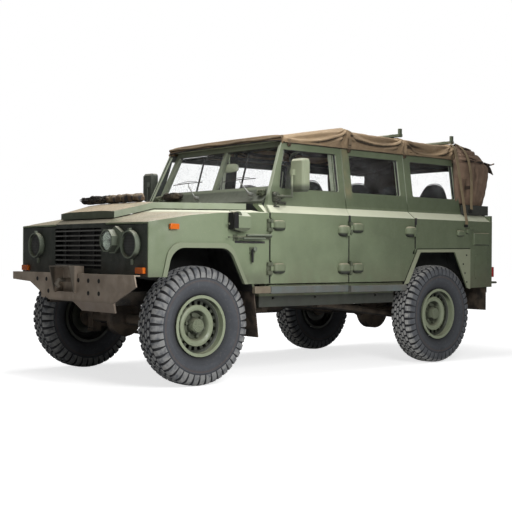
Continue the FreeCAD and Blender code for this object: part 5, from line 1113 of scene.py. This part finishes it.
roll(-0.605, -0.345, -0.6933, 1.4205, 0.030, (-0.53, -0.43), 6, net_blanket, "scuttle_net", "car")
knots = tangle((-0.6933, -0.475, 1.4205), (0.031, 0.130, 0.031), 40, 0.0030, 7)
scuttle_cords = mesh_object("scuttle_net_cords", *join(knots), net_cloth, "car")
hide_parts("scuttle_roll")

# %% [markdown]
# ## Seats
# Each seat is a padded cushion and a padded back in heavy cloth. A pad starts as a box with bulging faces: points of
# a cube are pushed out towards a rounder body, least at the middle of the sides, so that they pull in between the
# corners. Pressure in Blender's cloth solver then swells it, with the sewn border held, and creases it near the seam.

# %% Pads
def pad_mesh(size, crown, corner=5.0, n=26):
    """Crowned pad of that size about the origin: a superellipsoid with flat-ish faces and full corners.

    A point of a grid on the cube's faces is scaled so that |x|^p + |y|^p + |z|^p is 1,
    with p the corner's sharpness."""
    t = np.linspace(-1, 1, n)
    u, v = np.meshgrid(t, t, indexing="ij")
    one = np.ones_like(u)
    sides = [(u, v, one), (u, -v, -one), (v, one, u), (-v, -one, u), (one, u, v), (-one, -u, v)]
    parts = []
    for a, b, c in sides:
        p = np.stack([a, b, c], -1)
        p = p / (np.abs(p) ** corner).sum(-1, keepdims=True) ** (1 / corner)
        parts.append((p.reshape(-1, 3), grid_faces(n, n).tolist()))
    points, faces = join(parts)
    half = np.asarray(size) / 2
    bulge = 1 + crown * (1 - points[:, 0] ** 2) * (1 - points[:, 1] ** 2)
    waist = 1 - 0.025 * (1 - points[:, 2] ** 2) * (np.abs(points[:, 0]) ** 4 + np.abs(points[:, 1]) ** 4)
    points = points * np.stack([waist, waist, bulge], -1)
    return points * half, faces


def swollen(points, faces, seam_r, press=3.0, cap=0.012):
    """Swells a pad with the cloth solver: its seam stays, and no point moves further than cap."""
    mesh = bpy.data.meshes.new("pad")
    mesh.from_pydata(points.tolist(), [], faces)
    bm = bmesh.new()
    bm.from_mesh(mesh)
    bmesh.ops.remove_doubles(bm, verts=bm.verts, dist=1e-5)
    bmesh.ops.recalc_face_normals(bm, faces=bm.faces)
    bm.to_mesh(mesh)
    bm.free()
    start = np.empty(len(mesh.vertices) * 3)
    mesh.vertices.foreach_get("co", start)
    start = start.reshape(-1, 3)
    obj = put("pad", mesh)
    held = obj.vertex_groups.new(name="seam")
    held.add(np.flatnonzero(np.abs(start[:, 2]) < seam_r).tolist(), 1.0, "REPLACE")
    m = obj.modifiers.new("cloth", "CLOTH")
    m.settings.quality = 6
    m.settings.use_pressure = True
    m.settings.uniform_pressure_force = press
    m.settings.effector_weights.gravity = 0
    m.settings.vertex_group_mass = "seam"
    m.settings.tension_stiffness = m.settings.compression_stiffness = 18
    m.settings.bending_stiffness = 2.5
    for number in range(1, 19):
        bpy.context.scene.frame_set(number)
    moved = obj.evaluated_get(bpy.context.evaluated_depsgraph_get()).to_mesh()
    end = np.empty(len(start) * 3)
    moved.vertices.foreach_get("co", end)
    step = end.reshape(-1, 3) - start
    far = np.linalg.norm(step, axis=1, keepdims=True)
    start = start + step * np.minimum(1, cap / np.maximum(far, 1e-9))
    bpy.data.objects.remove(obj)
    bpy.context.scene.frame_set(1)
    faces = [list(p.vertices) for p in mesh.polygons]
    bpy.data.meshes.remove(mesh)
    return start, faces


def piping(size, r, y_offset=0.0, corner=5.0, n=90):
    """Cord sewn round a pad's edge: a superellipse of the pad's outline at mid thickness."""
    t = np.linspace(0, 2 * np.pi, n)
    power = 2 / corner
    x = np.sign(np.cos(t)) * np.abs(np.cos(t)) ** power * size[0] / 2
    y = np.sign(np.sin(t)) * np.abs(np.sin(t)) ** power * size[1] / 2
    return tube(np.stack([x, y, np.full(n, y_offset)], -1), r, 6)


cushion_form = swollen(*pad_mesh((0.445, 0.46, 0.105), 0.16), 0.004)
back_points, back_faces = pad_mesh((0.60, 0.44, 0.085), 0.22, corner=3.2)
back_points[:, 1] *= 1 - 0.30 * np.clip((back_points[:, 0] - 0.02) / 0.28, 0, 1) ** 1.6
back_form = swollen(back_points, back_faces, 0.004)


def turned_about_y(points, angle):
    """Turns points about the y axis."""
    c, s = math.cos(angle), math.sin(angle)
    return points @ np.array([[c, 0, -s], [0, 1, 0], [s, 0, c]])


# front of the cushion, across, width, cushion's height, top of the back
for name, x, y, wide, z, top in (("driver", -0.930, 0.400, 0.480, 0.960, 1.560),
                                 ("passenger", -0.930, -0.400, 0.480, 0.960, 1.560),
                                 ("rear_left", -1.600, 0.305, 0.540, 0.960, 1.575),
                                 ("rear_right", -1.600, -0.305, 0.540, 0.960, 1.575),
                                 ("boot_left", -2.700, 0.2765, 0.415, 0.980, 1.630),
                                 ("boot_right", -2.700, -0.2765, 0.415, 0.980, 1.630)):
    stretch = (1, (wide - 0.02) / 0.46, 1)
    p = cushion_form[0] * stretch + (x - 0.235, y, z - 0.068)
    cushion = mesh_object(f"seat_cushion_{name}", p, cushion_form[1], seat_cloth, "car")
    cord_p, cord_f = piping((0.449, wide - 0.016), 0.0035)
    mesh_object(f"seat_piping_{name}", cord_p + (x - 0.235, y, z - 0.068), cord_f, seal_rubber, "car")
    tall = top - z + 0.005
    stretch = (tall / 0.60, (wide - 0.02) / 0.44, 1)
    lean = math.radians(90 + 7.5)
    back_at = (x - 0.487, y, (top + z) / 2 - 0.01)
    p = turned_about_y(back_form[0] * stretch, -lean) + back_at
    back = mesh_object(f"seat_back_{name}", p, back_form[1], seat_cloth, "car")
    cord_p, cord_f = piping((tall + 0.001, wide - 0.020), 0.0035, corner=3.2)
    cord_p[:, 1] *= 1 - 0.30 * np.clip((cord_p[:, 0] * 0.60 / tall - 0.02) / 0.28, 0, 1) ** 1.6
    mesh_object(f"seat_edge_{name}", turned_about_y(cord_p, -lean) + back_at, cord_f, seal_rubber, "car")
    base = block(x - 0.04, x - 0.42, y - wide / 2 + 0.04, y + wide / 2 - 0.04, 0.701, z - 0.118)
    bevelled(mesh_object(f"seat_base_{name}", *base, dark_metal, "car"), 0.004)
    for piece in (cushion, back):
        all_smooth(piece.data)
    if name == "driver":
        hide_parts("seats")
print("seats", len(cushion_form[0]), "points a cushion")

# %% [markdown]
# ## Lamps
# The headlamps are deep bowls closed by a black wire mesh. The driving lamp keeps its clear glass, so it needs what
# lies behind it: a silvered dish, drawn by turning a parabola about the lamp's axis, a bulb, and a bright rim.


# %% Lamps
def turned(profile, centre, axis="x", segments=48, closed=False):
    """Turns a profile of (along, radius) pairs about an axis through centre."""
    p = np.asarray(profile, float)
    t = np.linspace(0, 2 * np.pi, segments, endpoint=False)
    a, r = p[:, 0][:, None] + 0 * t, p[:, 1][:, None]
    u, v = r * np.cos(t), r * np.sin(t)
    order = {"x": (a, u, v), "y": (v, a, u), "z": (u, v, a)}[axis]
    points = np.stack(order, -1) + np.asarray(centre, float)
    return points.reshape(-1, 3), grid_faces(len(p), segments, wrap_rows=closed, wrap_cols=True)[:, ::-1].tolist()


def ring(centre, r, thick, axis="x", segments=48, flat=1.0):
    """Round bead (a torus) about an axis; flat squeezes it along the axis."""
    t = np.linspace(0, 2 * np.pi, 10, endpoint=False)
    return turned(np.stack([thick * flat * np.sin(t), r + thick * np.cos(t)], -1), centre, axis, segments, closed=True)


LAMP_Y, LAMP_Z, LAMP_X = (0.701, -0.619), 0.995, 0.486        # both headlamps
DRIVING_LAMP = (0, 0.480, 1.022)
pressed("lamp_lenses", lamp_mesh, 0.0, pick=lambda g: g[0].co.y > 0.55 or g[0].co.y < 0, name="headlamp_mesh")
pressed("lamp_lenses", clear_glass, 0.0, pick=lambda g: 0 < g[0].co.y < 0.55, name="driving_lamp_glass")
r = np.linspace(0.0635, 0.006, 14)
dish = turned(np.stack([0.530 + 0.0165 * (r / 0.0635) ** 2, r], -1), DRIVING_LAMP)
mesh_object("driving_lamp_dish", *dish, reflector, "car")
bulb = turned([(0.531, 0.012), (0.541, 0.011), (0.546, 0.006), (0.548, 0.001)], DRIVING_LAMP, segments=16)
mesh_object("driving_lamp_bulb", *bulb, reflector, "car")
mesh_object("driving_lamp_rim", *ring((0.5635, *DRIVING_LAMP[1:]), 0.0700, 0.0035, flat=0.7), slat_grey, "car")
beads, wires = [], []
for y in LAMP_Y:
    beads.append(ring((LAMP_X + 0.0255, y, LAMP_Z), 0.0812, 0.0028))
    beads.append(disc((LAMP_X + 0.028, y, LAMP_Z + 0.089), (0, 0, 1), 0.005, 0.008))
    for k in range(-3, 4):
        half = math.sqrt(0.079**2 - (k * 0.0205) ** 2)
        x = LAMP_X + 0.0375 - 0.22 * (k * 0.0205) ** 2 * 8
        wires.append(tube([(x - 0.006, y - half, LAMP_Z + k * 0.0205), (x + 0.002, y, LAMP_Z + k * 0.0205),
                           (x - 0.006, y + half, LAMP_Z + k * 0.0205)], 0.0009, 5))
mesh_object("headlamp_beads", *join(beads), hinge_green, "car")
mesh_object("headlamp_wires", *join(wires), dark_metal, "car")

# %% [markdown]
# ## Windscreen and side glass
# Glass sits in rubber. Each seal is a bead that follows the pane's own rounded outline, found from the frame: the
# pane's points are projected on its plane, and the bead runs just outside the rounded rectangle that bounds them.


# %% Seals, wipers, mirror and poles
def pane_outline(points, corner=0.018, grow=0.004, n=12):
    """Outline of a flat pane with four straight sides, from its own points: the points furthest along four slanted
    directions are its corners, and each corner is then rounded."""
    middle = points.mean(0)
    q = points - middle
    _, _, way = np.linalg.svd(q, full_matrices=False)
    u, v, normal = way
    flat = np.stack([q @ u, q @ v], -1)
    size = np.abs(flat).max(0)
    corners = [flat[np.argmax(flat @ (np.array(d) / size))] for d in ((1, 1), (-1, 1), (-1, -1), (1, -1))]
    corners = np.array([c * (1 + grow / np.abs(c).min()) for c in corners])
    line = []
    for i in range(4):
        a, b, c = corners[i - 1], corners[i], corners[(i + 1) % 4]
        p0 = b + (a - b) / np.linalg.norm(a - b) * corner
        p1 = b + (c - b) / np.linalg.norm(c - b) * corner
        t = np.linspace(0, 1, n)[:, None]
        line.append((1 - t) ** 2 * p0 + 2 * t * (1 - t) * b + t**2 * p1)
    line = np.concatenate(line + [line[0][:1]])
    return middle + line[:, :1] * u + line[:, 1:] * v, normal


def pane_points(node):
    """Points of each separate pane in a frame piece, X counted from the front axle."""
    bm = bmesh.new()
    bm.from_mesh(frame["nodes"][node].data)
    bmesh.ops.remove_doubles(bm, verts=bm.verts, dist=2e-5)
    found = [np.array([tuple(v.co) for v in g]) - (X0, 0, 0) for g in islands(bm)]
    bm.free()
    return found


for node in ("glass_front_left", "glass_front_right", "glass_rear_left", "glass_rear_right", "fixed_glass"):
    seals = []
    for points in pane_points(node):
        line, normal = pane_outline(points)
        outward_way = normal * np.sign(normal[1] * points[:, 1].mean() + 0.3 * normal[0])
        for shift in (-0.004, 0.006):
            seals.append(tube(line + outward_way * shift, 0.0042, 6))
    mesh_object(f"seal_{node}", *join(seals), seal_rubber, body_of[node])

f = Finish("wiper_grey", (0.20, 0.205, 0.185), 0.45, 0.4)
f.layer((0.06, 0.055, 0.045), f.noise(50, 0.5, 0.7, detail=6), 0.6)
wiper_grey = f.mat
wipers, blades = [], []
for pivot, elbow, tip in (((-0.652, -0.100, 1.393), (-0.688, -0.245, 1.500), (-0.705, -0.262, 1.528)),
                          ((-0.652, 0.585, 1.396), (-0.688, 0.425, 1.500), (-0.705, 0.408, 1.522))):
    wipers.append(tube([pivot, (pivot[0] - 0.004, pivot[1] - 0.02, pivot[2] + 0.012), elbow], (0.0065, 0.006, 0.0038),
                       8))
    wipers.append(tube([elbow, tip], 0.003, 6))
    wipers.append(disc(np.array(pivot) - (0.028, 0, 0.004), (1, 0, 0.15), 0.016, 0.040, 16))
    a, b = np.array(tip) + (0.004, -0.21, -0.012), np.array(tip) + (0.004, 0.19, -0.004)
    blades.append(tube([a, (a + b) / 2 + (0.002, 0, 0.004), b], 0.0036, 6))
    blades.append(tube([a + (0.002, 0.07, 0.010), np.array(tip) + (0.002, 0, 0.012), b + (0.002, -0.07, 0.010)],
                       0.0022, 6))
mesh_object("wiper_arms", *join(wipers), wiper_grey, "car")
mesh_object("wiper_blades", *join(blades), seal_rubber, "car")

glass_pad = pad_mesh((0.022, 0.205, 0.066), 0.1, corner=3.0, n=10)
inner = [(glass_pad[0] + (-0.900, 0.055, 1.640), glass_pad[1])]
inner.append(tube([(-0.895, 0.055, 1.655), (-0.885, 0.050, 1.700), (-0.900, 0.045, 1.750)], 0.005, 8))
mesh_object("inner_mirror", *join(inner), mirror_green, "car")
poles = []
for y in (0.28, -0.30):
    poles.append(tube([(-0.800, y, 1.400), (-0.905, y, 1.750)], 0.008, 8))
    poles.append(tube([(-0.800, y - 0.02, 1.452), (-0.805, y + 0.10, 1.452)], 0.005, 6))
mesh_object("screen_stays", *join(poles), dark_metal, "car")

# %% [markdown]
# ## Small fittings of the body
# Rivets, bolts and hooks are too small for the solids. A row of them is one mesh, placed by a short table.


# %% Bolts, rivets and hooks
def heads(name, places, axis, r, h, material, body, sides=10):
    """Round heads at many places, all along one axis."""
    return mesh_object(name, *join([disc(p, axis, r, h, sides) for p in places]), material, body)


def side_out(z):
    """How far out the upper body's side lies at height z: it leans in above the shoulder."""
    return float(np.interp(z, [1.245, 1.305, 1.800], [0.885, 0.805, 0.735]))


RIVET_Z = 1.328
for word, s in SIDES:
    # part of the side, its body, first and last rivet, how many
    for part, body, first, last, count in (("door_front", f"door_front_{word}", -0.90, -1.34, 6),
                                           ("door_rear", f"door_rear_{word}", -1.58, -2.14, 7),
                                           ("quarter", "car", -2.36, -2.88, 6)):
        row = [(x, s * (side_out(RIVET_Z) - 0.0005), RIVET_Z) for x in np.linspace(first, last, count)]
        heads(f"rivets_{part}_{word}", row, (0, s, 0.14), 0.0045, 0.0028, olive, body)
holes = [(-0.440, 0.740), (-0.300, 0.740), (0.165, 0.740), (0.300, 0.740), (0.440, 0.740),
         (-0.270, 0.652), (0.300, 0.652), (0.440, 0.652)]
heads("bumper_hole_plugs", [(0.578, y, z) for y, z in holes], (1, 0, 0), 0.027, 0.004, matt_black, "car", 16)
heads("bumper_hole_rims", [(0.5938, y, z) for y, z in holes], (1, 0, 0), 0.0165, 0.0012, matt_black, "car", 16)

for where, x, z, body in (("front", -1.444, 1.2185, "door_front_left"), ("rear", -2.251, 1.222, "door_rear_left")):
    plate = [block(x - 0.009, x + 0.009, 0.884, 0.8895, z - 0.029, z + 0.029)]
    plate += [disc((x, 0.889, z + k * 0.019), (0, 1, 0), 0.0058, 0.006, 10) for k in (-1, 0, 1)]
    bevelled(mesh_object(f"stud_plate_{where}", *join(plate), seal_rubber, body), 0.001)

slot = [block(-0.1985, -0.1960, 0.8935, 0.9475, 1.112, 1.231), block(-0.243, -0.2025, 0.950, 0.9525, 1.118, 1.231),
        block(-0.4185, -0.4015, 0.909, 0.9105, 0.874, 0.975)]
bevelled(mesh_object("wing_box_slot", *join(slot), matt_black, "car"), 0.0018)
cover, faces = block(-0.362, -0.2455, 0.8853, 0.9528, 1.1205, 1.2445)
cover[(cover[:, 1] > 0.9) & (cover[:, 2] > 1.2), 2] = 1.206
bevelled(mesh_object("wing_box_cover", cover, faces, box_paint, "car"), 0.004)
bevelled(mesh_object("sill_end", *block(-0.601, -0.446, 0.8625, 0.899, 0.646, 0.6985), sill_dust, "car"), 0.005)
tubes = [tube([(-0.330, 0.939, 1.0705), (-0.568, 0.939, 1.0735)], 0.0085, 12),
         tube([(-0.300, 0.937, 1.0475), (-0.508, 0.937, 1.0495)], 0.0078, 12),
         disc((-0.437, 0.906, 0.971), (0, 1, 0), 0.017, 0.010, 12)]
mesh_object("wing_tubes", *join(tubes), lamp_paint, "car")
# a black strip under the two tubes: painted shadow
bevelled(mesh_object("wing_tube_shadow_strip", *block(-0.548, -0.262, 0.8853, 0.888, 1.014, 1.030), seal_rubber, "car"), 0.001)
rods = [tube([(-0.178, 0.9215, 1.056), (-0.463, 0.9215, 1.056)], 0.0028, 8),
        disc((-0.178, 0.918, 1.148), (0, 1, 0), 0.008, 0.012),
        disc((-0.178, 0.918, 1.056), (0, 1, 0), 0.006, 0.009), disc((-0.460, 0.918, 1.056), (0, 1, 0), 0.006, 0.009)]
mesh_object("wing_rods", *join(rods), hinge_green, "car")



def dome(centre, half, sign, power=3.0, around=30, up=8):
    """Half of a rounded block standing on the side.

    The sum of |x / a|, |z / b| and |y / c|, each to a power, is one."""
    t, u = np.meshgrid(np.linspace(0, 2 * np.pi, around, endpoint=False), np.linspace(0, 0.49 * np.pi, up),
                       indexing="ij")
    way = np.stack([np.cos(u) * np.cos(t), sign * np.sin(u), np.cos(u) * np.sin(t)], -1)
    a, b, c = half
    r = (np.abs(way / (a, c, b)) ** power).sum(-1) ** (-1 / power)
    points = (way * r[..., None] + centre).reshape(-1, 3)
    faces = grid_faces(around, up, wrap_rows=True).tolist() + [[(around - 1 - i) * up + up - 1 for i in range(around)]]
    faces = [f if sign > 0 else f[::-1] for f in faces]
    return points, faces


SKIN_Y = 0.8853
SEAMS = ((0.722, 0.776), (0.884, 1.096), (1.204, 1.243))      # between the hinges, from the sill to the belt
HINGE_Z = (0.830, 1.150)              # heights of each door's two hinges
# Y of the black strips in a seam and of the black lines beside it, both painted shade of the gap
GAP_SHADE_Y, EDGE_SHADE_Y = (0.870, 0.8838), (0.8845, 0.8864)    # inner and outer Y: strips in a seam, beads beside it
for word, sign in SIDES:
    front_ears = [(-0.682, z, 0.056) for z in HINGE_Z]
    front_pads = [(-1.3728, 1.124), (-1.3728, 0.826)]
    for body, ears, pads in ((f"door_front_{word}", front_ears, front_pads),
                             (f"door_rear_{word}", [(-1.530, z, 0.056) for z in HINGE_Z], [(-2.175, 1.132)])):
        parts = [dome((x, sign * SKIN_Y, z), (a, 0.039, 0.034), sign, 4.0) for x, z, a in ears]
        parts += [dome((x, sign * SKIN_Y, z), (0.062, 0.045, 0.046), sign) for x, z in pads]
        points, faces = join(parts)
        obj = mesh_object(f"bosses_{body}", points, faces, boss_paint, body)
        # each point's depth below its boss's middle, for the painted shade on the lower half
        middle = np.repeat([z for _, z, _ in ears] + [z for _, z in pads], len(parts[0][0]))
        point_numbers(obj, "shade_below", np.clip((middle - points[:, 2]) / 0.042, 0, 1))
    fixed, on_door = [], []
    # black strips in each door gap and thin black lines beside it: painted shade of the gaps
    for low, high in SEAMS:
        fixed += [block(-0.602, -0.598, sign * GAP_SHADE_Y[0], sign * GAP_SHADE_Y[1], low, high),
                  block(-1.442, -1.438, sign * GAP_SHADE_Y[0], sign * GAP_SHADE_Y[1], low, high),
                  block(-0.5965, -0.5915, sign * EDGE_SHADE_Y[0], sign * EDGE_SHADE_Y[1], low, high)]
        on_door.append(block(-1.4365, -1.4315, sign * EDGE_SHADE_Y[0], sign * EDGE_SHADE_Y[1], low, high))
    fixed += [block(-2.242, -2.238, sign * GAP_SHADE_Y[0], sign * GAP_SHADE_Y[1], 1.000, 1.243),
              block(-2.2485, -2.2435, sign * EDGE_SHADE_Y[0], sign * EDGE_SHADE_Y[1], 0.990, 1.243)]
    mesh_object(f"seam_shade_strips_{word}", *join(fixed), matt_black, "car")
    mesh_object(f"edge_shade_strips_{word}", *join(on_door), matt_black, f"door_front_{word}")
    # the rear door's slanted edge, carried back to just short of the arch's frame
    edge = np.array([(-2.050, 0.718), (-2.1074, 0.718), (-2.2405, 0.943), (-2.203, 0.950)])
    ring = [np.insert(edge, 1, sign * y, axis=1) for y in (0.873, 0.8851)]
    sides = [[i, (i + 1) % 4, 4 + (i + 1) % 4, 4 + i] for i in range(4)] + [[3, 2, 1, 0], [4, 5, 6, 7]]
    sides = sides if sign > 0 else [f[::-1] for f in sides]
    mesh_object(f"door_edge_{word}", np.vstack(ring), sides, olive, f"door_rear_{word}")
    # a black bead along the arch frame's upper edge: painted shadow line
    rim = [(-2.0945, sign * 0.8862, 0.692), (-2.2685, sign * 0.8862, 0.9895), (-2.996, sign * 0.8862, 0.9995)]
    mesh_object(f"arch_shadow_bead_{word}", *tube(rim, 0.0026, 6), matt_black, "car")

ARCH_BOLTS = [(-2.892 - 0.026 * k, 0.890, 0.860 - 0.080 * k) for k in range(3)] + [(-2.940, 0.890, 0.939)]
heads("arch_bolts", ARCH_BOLTS, (0, 1, 0), 0.0080, 0.003, matt_black, "car", 8)
hangers = join([block(-3.262, -3.2525, s * 0.560, s * 0.8725, 0.600, 0.860) for s in (1, -1)])
bevelled(mesh_object("flap_hanger", *hangers, matt_black, "car"), 0.001)
dark_hinge = paint("dark_hinge_paint", (0.045, 0.050, 0.036), dust=0.4, mud=0.0).mat
for word, s in SIDES:
    coil = np.linspace(0, 12 * np.pi, 120)
    spring = np.stack([-0.704 + 0.010 * np.cos(coil), s * (0.832 + 0.010 * np.sin(coil)),
                       np.linspace(1.292, 1.372, 120)], -1)
    cluster = [tube(spring, 0.0028, 5), block(-0.690, -0.745, s * 0.800, s * 0.826, 1.288, 1.300),
               disc((-0.735, s * 0.812, 1.345), (0, s, 0), 0.021, 0.026, 16),
               disc((-0.735, s * 0.836, 1.345), (0, s, 0), 0.011, 0.014, 6),
               disc((-0.782, s * 0.806, 1.372), (0, s, 0), 0.015, 0.026, 14),
               disc((-0.700, s * 0.812, 1.384), (0, s, 0), 0.015, 0.024, 14),
               block(-0.690, -0.760, s * 0.806, s * 0.814, 1.330, 1.392),
               block(-0.745, -0.826, s * 0.804, s * 0.812, 1.312, 1.336),
               disc((-0.812, s * 0.810, 1.324), (0, s, 0), 0.008, 0.012, 6)]
    bevelled(mesh_object(f"screen_hinge_{word}", *join(cluster), dark_hinge, "car"), 0.001)

# %% [markdown]
# ## The studio
# A pale floor runs out to a white surround. The key light is a wide soft panel beside the front wheel: it lights
# the side strongly near the nose and less towards the tail, and leaves the nose itself in shade.

# %% Floor and lights
f = Finish("studio_floor", (0.85, 0.85, 0.85), 0.9)
paths = f.nodes.new("ShaderNodeLightPath")
seen = f.maths("MAXIMUM", paths.outputs["Is Camera Ray"], paths.outputs["Is Transmission Ray"])
f.shader.inputs["Emission Color"].default_value = (1, 1, 1, 1)
spread = f.maths("SQRT", f.maths("ADD", f.maths("POWER", f.axis(0), 2.0), f.maths("POWER", f.axis(1), 2.0)))
glow = f.maths("ADD", f.times(f.span(spread, 2.5, 6.0), 0.30), 0.72)
f.link(f.times(seen, glow), f.shader.inputs["Emission Strength"])
floor_mesh = bpy.data.meshes.new("floor")
floor_mesh.from_pydata([(-30, -30, 0), (30, -30, 0), (30, 30, 0), (-30, 30, 0)], [], [(0, 1, 2, 3)])
floor_mesh.materials.append(f.mat)
floor = put("floor", floor_mesh)

WORLD_SOFT, WORLD_MIRRORED = 0.085, 0.24
world = bpy.data.worlds.new("surround")
world.use_nodes = True
bpy.context.scene.world = world
tree = world.node_tree
back = tree.nodes["Background"]
paths = tree.nodes.new("ShaderNodeLightPath")
both = tree.nodes.new("ShaderNodeMath")
both.operation = "MAXIMUM"
tree.links.new(paths.outputs["Is Camera Ray"], both.inputs[0])
tree.links.new(paths.outputs["Is Transmission Ray"], both.inputs[1])
mirrored = tree.nodes.new("ShaderNodeMapRange")
tree.links.new(paths.outputs["Is Glossy Ray"], mirrored.inputs["Value"])
mirrored.inputs["To Min"].default_value = WORLD_SOFT
mirrored.inputs["To Max"].default_value = WORLD_MIRRORED
level_of = tree.nodes.new("ShaderNodeMix")
tree.links.new(both.outputs[0], level_of.inputs[0])
tree.links.new(mirrored.outputs["Result"], level_of.inputs[2])
level_of.inputs[3].default_value = 1.0
tree.links.new(level_of.outputs[0], back.inputs["Strength"])
back.inputs["Color"].default_value = (1, 1, 1, 1)


def panel_light(name, power, size, spot, target):
    """Soft rectangular light at a place, turned to face a target."""
    data = bpy.data.lights.new(name, "AREA")
    data.shape = "RECTANGLE"
    data.size, data.size_y = size
    data.energy = power
    obj = put(name, data)
    way = Vector(target) - Vector(spot)
    obj.rotation_euler = way.to_track_quat("-Z", "Y").to_euler()
    obj.location = spot


panel_light("key", 80, (1.5, 1.5), (1.55, 3.7, 2.1), (1.05, 0.9, 1.0))
panel_light("top", 240, (4.5, 2.2), (0.1, -0.1, 4.6), (0.0, 0.0, 1.0))
panel_light("fill", 8, (2.0, 2.0), (6.0, -1.0, 2.6), (1.8, 0.0, 0.8))
